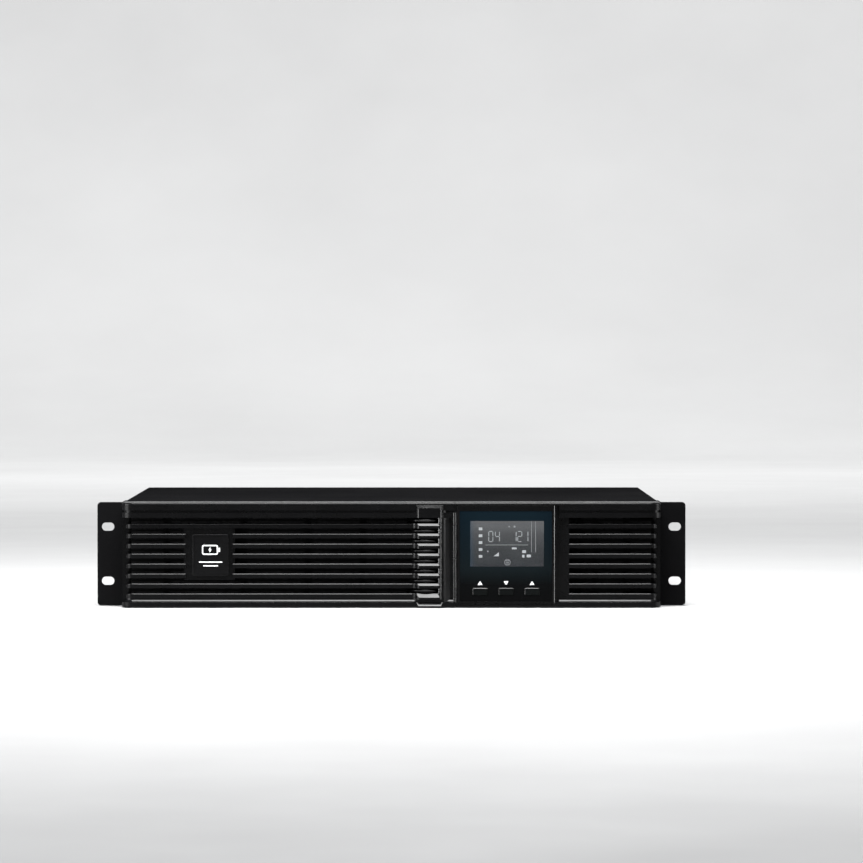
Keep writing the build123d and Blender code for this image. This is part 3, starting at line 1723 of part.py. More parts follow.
# Leads inside: battery socket to board, inlet to board
with BuildPart() as internal_leads:
    for dz, end_x in ((4.0, 74.0), (-4.0, 92.0)):
        add(
            tube(
                [
                    (socket_x, -148.0, socket_z + dz),
                    (socket_x, -142.0, socket_z + dz),
                    (end_x, -142.0, socket_z + dz),
                    (end_x, -132.0, socket_z + dz),
                    (end_x, -132.0, board_top_z),
                ],
                4.0,
                2.0,
            )
        )
    for dx, run_y in ((-6.0, 156.0), (6.0, 162.0)):
        add(
            tube(
                [
                    (inlet_x + dx, rear_y - 22.0, inlet_z),
                    (inlet_x + dx, run_y, inlet_z),
                    (16.0 - dx, run_y, inlet_z),
                    (16.0 - dx, run_y, board_top_z),
                ],
                4.0,
                1.6,
            )
        )
internal_leads.part.label = "internal_leads"
export_step(internal_leads.part, "parts/internal_leads.step")

# ================================================================ shared fasteners
with BuildPart() as pan_screws:
    for side in (-1, 1):
        for z in panel_screw_zs:
            with Locations(facing(side * panel_screw_x, rear_y, z, (0, 1, 0))):
                add(pan_head(6.0))
    for x, z in bezel_screw_points:
        with Locations(facing(x, plate_back_y, z, (0, 1, 0))):
            add(pan_head(10.0))
    for x, y in standoff_points:
        with Locations((x, y, board_top_z)):
            add(pan_head(board_thick))
    for dx in (-1, 1):
        for dz in (-1, 1):
            screw_x = fan_x + dx * 35.75
            screw_z = fan_z + dz * 35.75
            with Locations(facing(screw_x, rear_y + guard_thick, screw_z, (0, 1, 0))):
                add(pan_head(14.0))
    for dx in (-20.0, 20.0):
        with Locations(facing(inlet_x + dx, rear_y + inlet_flange, inlet_z, (0, 1, 0))):
            add(pan_head(8.0))
    for dz in (-27.0, 27.0):
        with Locations(facing(option_x, rear_y + 1.2, option_z + dz, (0, 1, 0))):
            add(pan_head(6.0))
pan_screws.part.label = "pan_screws"
export_step(pan_screws.part, "parts/pan_screws.step")

with BuildPart() as flat_screws:
    for side in (-1, 1):
        for y in cover_screw_ys:
            with Locations(facing(side * body_half, y, cover_screw_z, (side, 0, 0))):
                add(flat_head(5.0))
        for y in ear_screw_ys:
            for z in ear_screw_zs:
                with Locations(facing(side * (body_half + ear_thick), y, z, (side, 0, 0))):
                    add(flat_head(6.5))
flat_screws.part.label = "flat_screws"
export_step(flat_screws.part, "parts/flat_screws.step")
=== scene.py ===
import math

import bmesh
import bpy
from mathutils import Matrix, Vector


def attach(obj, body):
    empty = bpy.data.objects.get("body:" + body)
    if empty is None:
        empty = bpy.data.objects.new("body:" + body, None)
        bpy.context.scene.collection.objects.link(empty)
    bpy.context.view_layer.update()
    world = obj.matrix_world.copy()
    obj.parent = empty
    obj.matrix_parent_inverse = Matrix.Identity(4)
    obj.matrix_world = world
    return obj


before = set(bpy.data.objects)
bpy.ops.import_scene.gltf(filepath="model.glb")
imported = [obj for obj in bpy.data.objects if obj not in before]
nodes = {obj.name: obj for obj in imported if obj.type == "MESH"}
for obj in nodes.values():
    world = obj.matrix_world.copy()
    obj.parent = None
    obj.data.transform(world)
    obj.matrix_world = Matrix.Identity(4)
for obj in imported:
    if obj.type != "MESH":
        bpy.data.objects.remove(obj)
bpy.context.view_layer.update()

MM = 0.001

# Sizes the pieces below share with the design, in millimetres
REAR_Y = 201.5
MID_Z = 43.0
LCD_X, LCD_Z = 94.3, 52.4
LCD_W, LCD_H = 60.0, 37.2
WINDOW_FRONT_Y, WINDOW_BACK_Y = -202.3, -200.3
WINDOW_X, WINDOW_HALF_W = 93.5, 40.0
WINDOW_LOW_Z, WINDOW_HIGH_Z = 6.0, 79.0
BUTTON_XS = (72.3, 93.5, 114.7)
BUTTON_MARK_Z = 20.4
BADGE_X, BADGE_Z, BADGE_FLOOR_Y = -147.4, 42.9, -197.5
FAN_X, FAN_Z, FAN_HUB_Y = 165.0, MID_Z, 198.8
BANK_XS = (8.0, 84.0)
DATA_PANEL_X, INLET_X = -124.0, -61.0
BREAKER_X, BREAKER_Z = -74.0, 22.0
EARTH_X, EARTH_Z = -59.8, 21.0
PORT_BOARD_X, SERIAL_Z = -112.0, 58.0
NETWORK_XS = (-119.8, -104.2)
USB_X, USB_Z = -140.0, 24.0
BATTERY_LID_Z = 70.5
BATTERY_LABEL_XS = ((-194.0, -124.0), (-84.0, -14.0))
BATTERY_LABEL_YS = (-100.0, 52.0)
FOAM_Y, FOAM_THICK = -190.3, 1.6
FOAM_LOW_Z, FOAM_HIGH_Z = 3.4, 83.0


# ---------------------------------------------------------------- material helpers
class Shader:
    """A node material whose patterns are laid out in the object's own space, in metres."""

    def __init__(self, name):
        self.material = bpy.data.materials.new(name)
        self.material.use_nodes = True
        self.tree = self.material.node_tree
        self.tree.nodes.clear()
        self.bsdf = self.add("ShaderNodeBsdfPrincipled")
        output = self.add("ShaderNodeOutputMaterial")
        self.link(self.bsdf.outputs["BSDF"], output.inputs["Surface"])
        self.coords = self.add("ShaderNodeTexCoord").outputs["Object"]

    def add(self, kind, **settings):
        node = self.tree.nodes.new(kind)
        for key, value in settings.items():
            setattr(node, key, value)
        return node

    def link(self, a, b):
        self.tree.links.new(a, b)

    def stretched(self, scale):
        mapping = self.add("ShaderNodeMapping")
        mapping.inputs["Scale"].default_value = scale
        self.link(self.coords, mapping.inputs["Vector"])
        return mapping.outputs["Vector"]

    def noise(self, scale, detail=3.0, stretch=None, distortion=0.0):
        node = self.add("ShaderNodeTexNoise")
        node.inputs["Scale"].default_value = scale
        node.inputs["Detail"].default_value = detail
        node.inputs["Roughness"].default_value = 0.55
        node.inputs["Distortion"].default_value = distortion
        self.link(self.stretched(stretch) if stretch else self.coords, node.inputs["Vector"])
        return node.outputs["Fac"]

    def cells(self, scale, output="Distance"):
        node = self.add("ShaderNodeTexVoronoi")
        node.inputs["Scale"].default_value = scale
        self.link(self.coords, node.inputs["Vector"])
        return node.outputs[output]

    def axis(self, name):
        node = self.add("ShaderNodeSeparateXYZ")
        self.link(self.coords, node.inputs["Vector"])
        return node.outputs[name]

    def remap(self, value, low, high, to_low, to_high):
        node = self.add("ShaderNodeMapRange")
        node.inputs["From Min"].default_value = low
        node.inputs["From Max"].default_value = high
        node.inputs["To Min"].default_value = to_low
        node.inputs["To Max"].default_value = to_high
        self.link(value, node.inputs["Value"])
        return node.outputs["Result"]

    def math(self, operation, a, b):
        node = self.add("ShaderNodeMath", operation=operation)
        for socket, value in zip(node.inputs, (a, b)):
            if isinstance(value, (int, float)):
                socket.default_value = value
            else:
                self.link(value, socket)
        return node.outputs["Value"]

    def ramp(self, value, stops):
        node = self.add("ShaderNodeValToRGB")
        elements = node.color_ramp.elements
        while len(elements) < len(stops):
            elements.new(0.5)
        for element, (position, colour) in zip(elements, stops):
            element.position = position
            element.color = (*colour, 1.0)
        self.link(value, node.inputs["Fac"])
        return node.outputs["Color"]

    def mix(self, factor, a, b):
        node = self.add("ShaderNodeMix", data_type="RGBA")
        for socket, value in zip((node.inputs[0], node.inputs[6], node.inputs[7]), (factor, a, b)):
            if isinstance(value, (int, float)):
                socket.default_value = value
            elif isinstance(value, tuple):
                socket.default_value = (*value, 1.0)
            else:
                self.link(value, socket)
        return node.outputs[2]

    def colour(self, value):
        self.link(value, self.bsdf.inputs["Base Color"])

    def roughness(self, value):
        self.link(value, self.bsdf.inputs["Roughness"])

    def bump(self, height, distance, strength=1.0, edge=0.0):
        node = self.add("ShaderNodeBump")
        node.inputs["Strength"].default_value = strength
        node.inputs["Distance"].default_value = distance
        self.link(height, node.inputs["Height"])
        if edge:
            rounding = self.add("ShaderNodeBevel", samples=4)
            rounding.inputs["Radius"].default_value = edge
            self.link(rounding.outputs["Normal"], node.inputs["Normal"])
        self.link(node.outputs["Normal"], self.bsdf.inputs["Normal"])

    def fixed(self, **values):
        names = {
            "metal": "Metallic", "specular": "Specular IOR Level",
            "alpha": "Alpha", "glow": "Emission Strength",
        }
        for key, value in values.items():
            self.bsdf.inputs[names[key]].default_value = value


def moulded(name, dark, light, rough, specular, grain, depth, edge=0.0):
    """Moulded plastic: fine spark-eroded grain, faint cloudiness, patchy gloss."""
    s = Shader(name)
    s.colour(s.ramp(s.noise(35.0, 4.0), [(0.3, dark), (0.7, light)]))
    s.roughness(s.remap(s.noise(60.0, 5.0), 0.3, 0.7, rough - 0.05, rough + 0.06))
    s.bump(s.noise(grain, 2.0), depth, 0.5, edge)
    s.fixed(specular=specular)
    return s.material


def powder_coated(name, dark, light, rough, specular):
    """Fine textured powder coat: small even pimples over a soft orange peel, with painted shade darkening the
    hollows between them.
    """
    s = Shader(name)
    pimples = s.cells(1300.0)
    peel = s.noise(420.0, 2.0)
    height = s.math("ADD", s.math("MULTIPLY", pimples, 0.7), peel)
    # Random mottle plus painted shade: the colour darkens in the hollows of the pimples
    tone = s.math("ADD", s.math("MULTIPLY", s.noise(9.0, 5.0), 0.7), s.math("MULTIPLY", pimples, 0.35))
    s.colour(s.ramp(tone, [(0.3, dark), (0.75, light)]))
    s.roughness(s.remap(s.noise(22.0, 4.0), 0.3, 0.7, rough - 0.06, rough + 0.06))
    s.bump(height, 0.00006, 0.55, 0.0004)
    s.fixed(specular=specular)
    return s.material


def brushed(name, dark, light, rough, stretch):
    """Drawn or brushed metal with its lines along one axis."""
    s = Shader(name)
    lines = s.noise(1.0, 6.0, stretch=stretch)
    s.colour(s.ramp(lines, [(0.3, dark), (0.7, light)]))
    s.roughness(s.remap(lines, 0.25, 0.75, rough - 0.08, rough + 0.12))
    s.bump(lines, 0.00002, 0.4, 0.0003)
    s.fixed(metal=1.0)
    return s.material


def zinc(name):
    """Bright zinc plate with soft spangle and handling marks."""
    s = Shader(name)
    spangle = s.cells(85.0, "Color")
    smears = s.noise(18.0, 5.0, distortion=1.2)
    bright = s.mix(0.82, spangle, (0.55, 0.56, 0.58))
    s.colour(s.mix(s.remap(smears, 0.3, 0.7, 0.1, 0.7), bright, (0.42, 0.43, 0.45)))
    s.roughness(s.remap(smears, 0.3, 0.7, 0.28, 0.46))
    s.bump(s.noise(300.0, 3.0), 0.00002, 0.3, 0.0003)
    s.fixed(metal=1.0)
    return s.material


def circuit_board(name, mask, copper):
    """Solder mask with the copper tracks just showing under it."""
    s = Shader(name)
    tracks = s.add("ShaderNodeTexBrick", offset=0.37, squash=2.3, squash_frequency=3)
    tracks.inputs["Scale"].default_value = 160.0
    tracks.inputs["Mortar Size"].default_value = 0.09
    tracks.inputs["Color1"].default_value = (1, 1, 1, 1)
    tracks.inputs["Color2"].default_value = (0.85, 0.85, 0.85, 1)
    tracks.inputs["Mortar"].default_value = (0, 0, 0, 1)
    s.link(s.coords, tracks.inputs["Vector"])
    cloudy = s.noise(50.0, 4.0)
    through = s.math("MULTIPLY", tracks.outputs["Fac"], 0.6)
    s.colour(s.mix(through, s.ramp(cloudy, [(0.3, mask), (0.7, copper)]), copper))
    s.roughness(s.remap(cloudy, 0.3, 0.7, 0.3, 0.45))
    s.bump(tracks.outputs["Fac"], 0.00004, 0.5)
    return s.material


def rubber(name):
    """Soft black rubber with a dusty bloom."""
    s = Shader(name)
    s.colour(s.ramp(s.noise(120.0, 5.0), [(0.3, (0.012, 0.012, 0.012)), (0.7, (0.03, 0.03, 0.03))]))
    s.roughness(s.remap(s.noise(90.0, 4.0), 0.3, 0.7, 0.6, 0.8))
    s.bump(s.noise(2200.0, 2.0), 0.00004, 0.6)
    return s.material


def filter_foam(name):
    """Open-cell dust filter: ragged pores, darkened with painted shade, between matte strands."""
    s = Shader(name)
    pores = s.cells(900.0)
    # Painted shade: the colour darkens down into each pore, where the bump dips
    s.colour(s.ramp(pores, [(0.15, (0.0012, 0.0012, 0.0012)), (0.6, (0.006, 0.006, 0.0063))]))
    s.roughness(s.remap(s.noise(300.0), 0.3, 0.7, 0.85, 1.0))
    s.bump(pores, 0.0006, 1.0)
    s.fixed(specular=0.1)
    return s.material


def insulation(name, dark, light):
    """Extruded lead insulation: faint lines along its run, scuffs."""
    s = Shader(name)
    s.colour(s.ramp(s.noise(90.0, 6.0, distortion=0.6), [(0.3, dark), (0.7, light)]))
    s.roughness(s.remap(s.noise(200.0, 3.0), 0.3, 0.7, 0.32, 0.5))
    s.bump(s.noise(700.0, 2.0), 0.00003, 0.4)
    return s.material


def window_painted_glow(name):
    """Deep gloss window with a painted glow: the display's light painted over it as a dim bluish glow, fading
    to black at its foot and darker towards its sides.
    """
    s = Shader(name)
    up = s.remap(s.axis("Z"), WINDOW_LOW_Z * MM, WINDOW_HIGH_Z * MM, 0.0, 1.0)
    across = s.math("ABSOLUTE", s.math("SUBTRACT", s.axis("X"), WINDOW_X * MM), 0.0)
    # Painted light: the display's glow, brighter upwards, used as both colour and emission
    painted_glow = s.ramp(up, [
        (0.0, (0.0005, 0.0005, 0.0006)),
        (0.18, (0.0006, 0.0008, 0.0009)),
        (0.36, (0.0020, 0.0034, 0.0040)),
        (1.0, (0.0018, 0.0042, 0.0062)),
    ])
    from_middle = s.remap(across, 0.0, WINDOW_HALF_W * MM, 0.0, 1.0)
    # Painted light: the glow falls off towards the window's sides
    glow_side_falloff = s.ramp(from_middle, [(0.55, (1, 1, 1)), (1.0, (0.72, 0.74, 0.78))])
    blended = s.add("ShaderNodeMix", data_type="RGBA", blend_type="MULTIPLY")
    blended.inputs[0].default_value = 1.0
    s.link(painted_glow, blended.inputs[6])
    s.link(glow_side_falloff, blended.inputs[7])
    s.colour(blended.outputs[2])
    s.link(blended.outputs[2], s.bsdf.inputs["Emission Color"])
    s.roughness(s.remap(s.noise(45.0, 5.0, distortion=0.8), 0.35, 0.75, 0.06, 0.13))
    s.bump(s.noise(14.0, 2.0), 0.00004, 0.25)
    s.fixed(specular=0.03, glow=0.9)
    return s.material


def display_light(name):
    """Display face glowing with painted light: brighter towards its top as if lit from above, a painted cool
    highlight at its left edge, and a faint pixel grid.
    """
    rim_width = 7.0
    left = LCD_X - LCD_W / 2
    s = Shader(name)
    up = s.remap(s.axis("Z"), (LCD_Z - LCD_H / 2) * MM, (LCD_Z + LCD_H / 2) * MM, 0.0, 1.0)
    # Painted light: the face is made brighter upwards, as if lit from above
    painted_top_light = s.ramp(up, [
        (0.0, (0.020, 0.022, 0.025)),
        (0.35, (0.042, 0.044, 0.045)),
        (0.7, (0.100, 0.103, 0.105)),
        (1.0, (0.245, 0.250, 0.257)),
    ])
    # Painted highlight: a cool rim of light along the face's left edge
    side = s.remap(s.axis("X"), left * MM, (left + rim_width) * MM, 1.0, 0.0)
    painted_rim_highlight = s.math("MULTIPLY", s.math("POWER", s.math("MAXIMUM", side, 0.0), 3.0), 0.55)
    lit = s.mix(painted_rim_highlight, painted_top_light, (0.05, 0.12, 0.2))
    grid = s.cells(2200.0)
    lit = s.mix(s.math("MULTIPLY", grid, 0.16), lit, (0.02, 0.022, 0.025))
    s.colour(s.mix(0.8, lit, (0.02, 0.022, 0.024)))
    s.link(lit, s.bsdf.inputs["Emission Color"])
    s.roughness(s.remap(s.noise(80.0), 0.3, 0.7, 0.35, 0.45))
    s.fixed(glow=0.9, specular=0.2)
    return s.material


def lit_marks(name, colour, glow):
    """Clear segments that pass the display's light, a little uneven."""
    s = Shader(name)
    tone = s.ramp(s.noise(260.0, 3.0), [(0.3, tuple(c * 0.82 for c in colour)), (0.7, colour)])
    s.colour(tone)
    s.link(tone, s.bsdf.inputs["Emission Color"])
    s.roughness(s.remap(s.noise(300.0), 0.3, 0.7, 0.4, 0.55))
    s.fixed(glow=glow)
    return s.material


def printed(name, colour):
    """Screen printed ink, slightly thin in places."""
    s = Shader(name)
    s.colour(s.ramp(s.noise(900.0, 4.0), [(0.25, tuple(c * 0.7 for c in colour)), (0.6, colour)]))
    s.roughness(s.remap(s.noise(400.0), 0.3, 0.7, 0.45, 0.6))
    s.bump(s.noise(1800.0, 2.0), 0.00001, 0.4)
    return s.material


def clear_cover(name):
    """Thin clear sheet over the display: mostly lets light through, with a soft gloss."""
    s = Shader(name)
    s.colour(s.ramp(s.noise(40.0), [(0.3, (0.004, 0.005, 0.006)), (0.7, (0.008, 0.009, 0.011))]))
    s.roughness(s.remap(s.noise(50.0, 5.0), 0.3, 0.7, 0.1, 0.2))
    s.fixed(alpha=0.3, specular=0.4)
    return s.material


def wound_copper(name):
    """Enamelled copper turns round a ring core."""
    s = Shader(name)
    turns = s.add("ShaderNodeTexWave", wave_type="RINGS", rings_direction="SPHERICAL")
    turns.inputs["Scale"].default_value = 160.0
    turns.inputs["Distortion"].default_value = 1.5
    s.link(s.coords, turns.inputs["Vector"])
    # Painted shade: the copper darkens in the grooves between turns, where the bump dips
    s.colour(s.ramp(turns.outputs["Fac"], [(0.2, (0.25, 0.07, 0.02)), (0.8, (0.72, 0.28, 0.1))]))
    s.roughness(s.remap(turns.outputs["Fac"], 0.0, 1.0, 0.5, 0.28))
    s.bump(turns.outputs["Fac"], 0.0004, 0.9)
    s.fixed(metal=0.85)
    return s.material


def banded(name, axis, pitch, dark, light, rough, metal=0.0):
    """Parallel bands across one axis: stacked laminations, or turns of tape."""
    s = Shader(name)
    saw = s.math("FRACT", s.math("DIVIDE", s.axis(axis), pitch), 0.0)
    ridge = s.math("PINGPONG", saw, 0.5)
    tone = s.math("ADD", s.math("MULTIPLY", ridge, 0.8), s.math("MULTIPLY", s.noise(70.0, 5.0), 0.6))
    s.colour(s.ramp(tone, [(0.25, dark), (0.75, light)]))
    s.roughness(s.remap(s.noise(120.0, 4.0), 0.3, 0.7, rough - 0.06, rough + 0.1))
    s.bump(ridge, 0.0002, 0.8)
    s.fixed(metal=metal)
    return s.material


# Moulded plastics: dark and light tone, roughness, specular, grain scale and depth, edge rounding
BLACK_PLASTIC = moulded(
    "satin_black_abs", (0.0010, 0.0010, 0.0011), (0.0017, 0.0017, 0.0019), 0.26, 0.07, 1700.0, 0.00002)
BLACK_PLAIN = moulded(
    "black_nylon", (0.010, 0.010, 0.010), (0.019, 0.019, 0.019), 0.46, 0.4, 900.0, 0.00004, 0.0003)
DARK_CASE = moulded(
    "battery_grey", (0.055, 0.057, 0.062), (0.085, 0.088, 0.094), 0.48, 0.4, 700.0, 0.00005, 0.0006)
BUTTON_CAP = moulded(
    "button_satin", (0.0010, 0.0014, 0.0014), (0.0016, 0.0021, 0.0021), 0.24, 0.06, 2000.0, 0.00002)
BADGE_FACE = moulded(
    "badge_satin", (0.0009, 0.0009, 0.0010), (0.0014, 0.0014, 0.0016), 0.22, 0.1, 2400.0, 0.00001)
FAN_BLACK = moulded(
    "fan_pbt", (0.008, 0.008, 0.008), (0.016, 0.016, 0.016), 0.4, 0.4, 1100.0, 0.00004, 0.0003)
RELAY_CASE = moulded(
    "relay_case", (0.02, 0.05, 0.11), (0.03, 0.07, 0.15), 0.35, 0.4, 800.0, 0.00002, 0.0004)
CERAMIC = moulded(
    "fuse_ceramic", (0.6, 0.58, 0.54), (0.75, 0.73, 0.68), 0.4, 0.5, 900.0, 0.00002, 0.0003)
ACETAL = moulded(
    "natural_acetal", (0.62, 0.61, 0.57), (0.76, 0.75, 0.71), 0.4, 0.5, 700.0, 0.00003, 0.0003)
GREEN_BLOCK = moulded(
    "terminal_green", (0.01, 0.15, 0.05), (0.015, 0.23, 0.08), 0.38, 0.5, 900.0, 0.00003, 0.0002)
SLEEVE = moulded(
    "capacitor_sleeve", (0.008, 0.012, 0.04), (0.014, 0.02, 0.07), 0.28, 0.5, 500.0, 0.00002)
PORT_BODY = moulded(
    "port_body", (0.008, 0.008, 0.008), (0.02, 0.02, 0.02), 0.5, 0.4, 900.0, 0.00002)
POWDER = powder_coated("black_powder_coat", (0.0022, 0.0022, 0.0024), (0.0042, 0.0042, 0.0044), 0.9, 0.0)
ZINC = zinc("zinc_plate")
BLACK_ZINC = brushed("black_zinc", (0.035, 0.035, 0.037), (0.09, 0.09, 0.095), 0.34, (900.0, 900.0, 900.0))
NICKEL = brushed("bright_nickel", (0.52, 0.51, 0.49), (0.7, 0.69, 0.66), 0.2, (400.0, 60.0, 400.0))
ALUMINIUM = brushed("extruded_aluminium", (0.55, 0.56, 0.58), (0.78, 0.79, 0.8), 0.32, (900.0, 12.0, 900.0))
BRASS = brushed("tinned_brass", (0.55, 0.46, 0.26), (0.8, 0.68, 0.4), 0.24, (500.0, 80.0, 500.0))
GOLD = brushed("gold_contact", (0.75, 0.5, 0.14), (0.95, 0.7, 0.25), 0.18, (600.0, 90.0, 600.0))
BOARD_GREEN = circuit_board("solder_mask", (0.008, 0.06, 0.025), (0.02, 0.13, 0.05))
RED_LEAD = insulation("red_insulation", (0.28, 0.006, 0.006), (0.46, 0.014, 0.012))
BLACK_LEAD = insulation("black_insulation", (0.008, 0.008, 0.008), (0.022, 0.022, 0.022))
RUBBER = rubber("black_rubber")
WINDOW = window_painted_glow("window_painted_glow")
LCD_FACE = display_light("display_face")
LCD_INK = lit_marks("display_segments", (0.38, 0.40, 0.41), 0.62)
LCD_BRIGHT = lit_marks("display_segments_bright", (0.55, 0.58, 0.59), 0.75)
WHITE_INK = printed("white_print", (0.72, 0.73, 0.73))
COVER = clear_cover("display_cover")
# Painted highlights: glossier copies of the black plastic for edges that catch the light; the second is also
# a little lighter
LIP_SHEEN = moulded(
    "painted_lip_sheen_abs", (0.0011, 0.0011, 0.0012), (0.0018, 0.0018, 0.0020), 0.2, 0.17, 2400.0, 0.00001)
EDGE_SHEEN = moulded(
    "painted_edge_sheen_abs", (0.0014, 0.0014, 0.0015), (0.0022, 0.0022, 0.0024), 0.26, 0.75, 2400.0, 0.00001)
FOAM = filter_foam("filter_foam")
# Painted shade: a blacker, duller copy of the black plastic
SHADE_BLACK = moulded(
    "painted_shade_black", (0.0005, 0.0005, 0.0005), (0.0009, 0.0009, 0.0010), 0.85, 0.04, 900.0, 0.00004)
COPPER = wound_copper("enamelled_turns")
LAMINATIONS = banded("laminations", "Y", 0.0012, (0.05, 0.04, 0.035), (0.16, 0.15, 0.14), 0.45, 0.6)
TAPE = banded("coil_tape", "Z", 0.006, (0.42, 0.27, 0.03), (0.66, 0.46, 0.08), 0.35)
LABEL = banded("battery_label", "Y", 0.045, (0.32, 0.34, 0.36), (0.62, 0.64, 0.65), 0.45)

LOOKS = {
    "battery_door": BLACK_PLASTIC, "front_bezel": BLACK_PLASTIC, "display_housing": BLACK_PLASTIC,
    "display_back": BLACK_PLAIN, "badge_plate": BADGE_FACE, "ball_studs": BLACK_PLAIN,
    "display_window": WINDOW, "lcd_panel": LCD_FACE, "display_board": BOARD_GREEN,
    "button_left": BUTTON_CAP, "button_middle": BUTTON_CAP, "button_right": BUTTON_CAP,
    "plate_sockets": BLACK_PLAIN, "chassis_base": POWDER, "top_cover": POWDER, "front_plate": POWDER,
    "rear_panel": POWDER, "ear_left": POWDER, "ear_right": POWDER, "option_cover": POWDER,
    "bay_partition": ZINC, "battery_tray": ZINC, "transformer_bracket": ZINC, "tray_glides": ACETAL,
    "battery_front_left": DARK_CASE, "battery_front_right": DARK_CASE,
    "battery_rear_left": DARK_CASE, "battery_rear_right": DARK_CASE,
    "battery_terminals": BRASS, "inlet_pins": NICKEL, "earth_screw": BRASS,
    "battery_lead_red": RED_LEAD, "battery_lead_black": BLACK_LEAD, "internal_leads": BLACK_LEAD,
    "battery_plug": BLACK_PLAIN, "lead_grommet": RUBBER, "tray_handle": BLACK_PLAIN, "thumbscrews": NICKEL,
    "main_board": BOARD_GREEN, "control_board": BOARD_GREEN, "port_board": BOARD_GREEN,
    "heat_sinks": ALUMINIUM, "capacitors": SLEEVE, "power_components": BLACK_PLAIN, "filter_choke": COPPER,
    "transformer_core": LAMINATIONS, "transformer_coil": TAPE, "fan_frame": FAN_BLACK, "fan_rotor": FAN_BLACK,
    "fan_guard": NICKEL, "outlet_bank_left": BLACK_PLAIN, "outlet_bank_right": BLACK_PLAIN,
    "power_inlet": BLACK_PLAIN, "breaker": BLACK_PLAIN, "breaker_button": BLACK_PLAIN,
    "data_ports": NICKEL, "stop_terminal": GREEN_BLOCK, "pan_screws": BLACK_ZINC, "flat_screws": BLACK_ZINC,
    "lcd_lens": COVER,
}
for name, material in LOOKS.items():
    mesh = nodes[name].data
    mesh.materials.clear()
    mesh.materials.append(material)


def zone(node, material, inside):
    """Gives another material to the faces of a node whose middle, in millimetres, passes a test."""
    mesh = nodes[node].data
    mesh.materials.append(material)
    index = len(mesh.materials) - 1
    for polygon in mesh.polygons:
        if inside(polygon.center / MM, polygon.normal):
            polygon.material_index = index


def turned_edge(p, n):
    """Rounded lips of the louvres and the frame, which catch the light; they get a glossier copy of the black
    plastic as a painted highlight.
    """
    return p.y < -194 and p.z < 84.5 and abs(p.x) < 211 and -0.985 < n.y < -0.12


def inside_face(p, n):
    """Back of the bezel, seen only through its slots, which gets painted shade."""
    return p.y > -192.6 and 3 < p.z < 83.4 and abs(p.x) < 214.5


def strip_edge(p, n):
    """Upright edges of the finger grip and of the strip beside the display, which get a painted highlight."""
    beside = 37.9 < p.x < 41.2 or 50 < p.x < 53.2
    return p.y < -196 and beside and abs(n.x) > 0.15 and n.y < -0.1


def serial_pin(p, n):
    """Contacts in the serial port, in two rows."""
    across = min(abs(abs(p.x - PORT_BOARD_X) - step) for step in (0, 1.35, 2.7, 4.05, 5.4))
    within = 47 < p.z < 69 and 194 < p.y < 201.6
    return within and across < 0.55 and abs(abs(p.z - SERIAL_Z) - 1.4) < 0.6


# Glossier copies as painted highlights on the lips and upright edges, and painted shade on the inside
for node in ("battery_door", "front_bezel"):
    zone(node, LIP_SHEEN, turned_edge)
    zone(node, SHADE_BLACK, inside_face)
    zone(node, EDGE_SHEEN, strip_edge)
# Painted highlight on the housing's right chamfer
zone("display_housing", EDGE_SHEEN, lambda p, n: n.x > 0.3 and p.y < -201 and -0.985 < n.y < -0.12)
# Painted highlight on the top and left edges of each button, where the light falls
for node in ("button_left", "button_middle", "button_right"):
    zone(node, EDGE_SHEEN, lambda p, n: (0.2 < n.z < 0.98 or -0.98 < n.x < -0.2) and n.y < -0.1)
# Painted shade on the housing's top chamfer, to keep it from catching the light
zone("display_housing", SHADE_BLACK, lambda p, n: n.z > 0.3 and p.z > 80 and p.y < -201)
zone("data_ports", PORT_BODY, lambda p, n: (
    p.y < 201.9 and p.z < 32 and abs(p.x - PORT_BOARD_X) < 14.3 and 18 < p.z < 27.1))
zone("data_ports", GOLD, serial_pin)
zone("data_ports", CERAMIC, lambda p, n: abs(p.x - USB_X) < 2.8 and abs(p.z - USB_Z) < 1.6 and p.y > 192.4)
zone("breaker", NICKEL, lambda p, n: p.y > 201.4 and math.hypot(p.x - BREAKER_X, p.z - BREAKER_Z) > 4.8)
zone("filter_choke", BLACK_PLAIN, lambda p, n: p.z < 12.4)
zone("power_components", RELAY_CASE, lambda p, n: p.x > 77 and p.y < 137)
zone("power_components", CERAMIC, lambda p, n: p.y > 137 and p.z > 15.9)
zone("capacitors", ALUMINIUM, lambda p, n: n.z > 0.9 and p.z > 50)
zone("display_board", BLACK_PLAIN, lambda p, n: p.y < -190.65 or p.y > -188.9)
zone("control_board", BLACK_PLAIN, lambda p, n: p.x > 19.7)


# ---------------------------------------------------------------- mesh helpers
def finish_mesh(name, bm, material, body):
    """Turns a mesh in millimetres into a piece that rides on a body."""
    bmesh.ops.recalc_face_normals(bm, faces=bm.faces)
    bmesh.ops.scale(bm, vec=(MM, MM, MM), verts=bm.verts)
    mesh = bpy.data.meshes.new(name)
    bm.to_mesh(mesh)
    bm.free()
    mesh.materials.append(material)
    piece = bpy.data.objects.new(name, mesh)
    bpy.context.scene.collection.objects.link(piece)
    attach(piece, body)


def slab(bm, outline, y, thick):
    """Closed slab with an outline in X and Z, from y to y + thick."""
    front = [bm.verts.new((x, y, z)) for x, z in outline]
    back = [bm.verts.new((x, y + thick, z)) for x, z in outline]
    bm.faces.new(front)
    bm.faces.new(back[::-1])
    for i in range(len(outline)):
        j = (i + 1) % len(outline)
        bm.faces.new((front[i], front[j], back[j], back[i]))


def plate(bm, corners, thick):
    """Closed plate with the given corners, and the same corners raised by its thickness."""
    low = [bm.verts.new(corner) for corner in corners]
    high = [bm.verts.new(v.co + Vector((0, 0, thick))) for v in low]
    bm.faces.new(low)
    bm.faces.new(high[::-1])
    for i in range(len(corners)):
        j = (i + 1) % len(corners)
        bm.faces.new((low[i], low[j], high[j], high[i]))


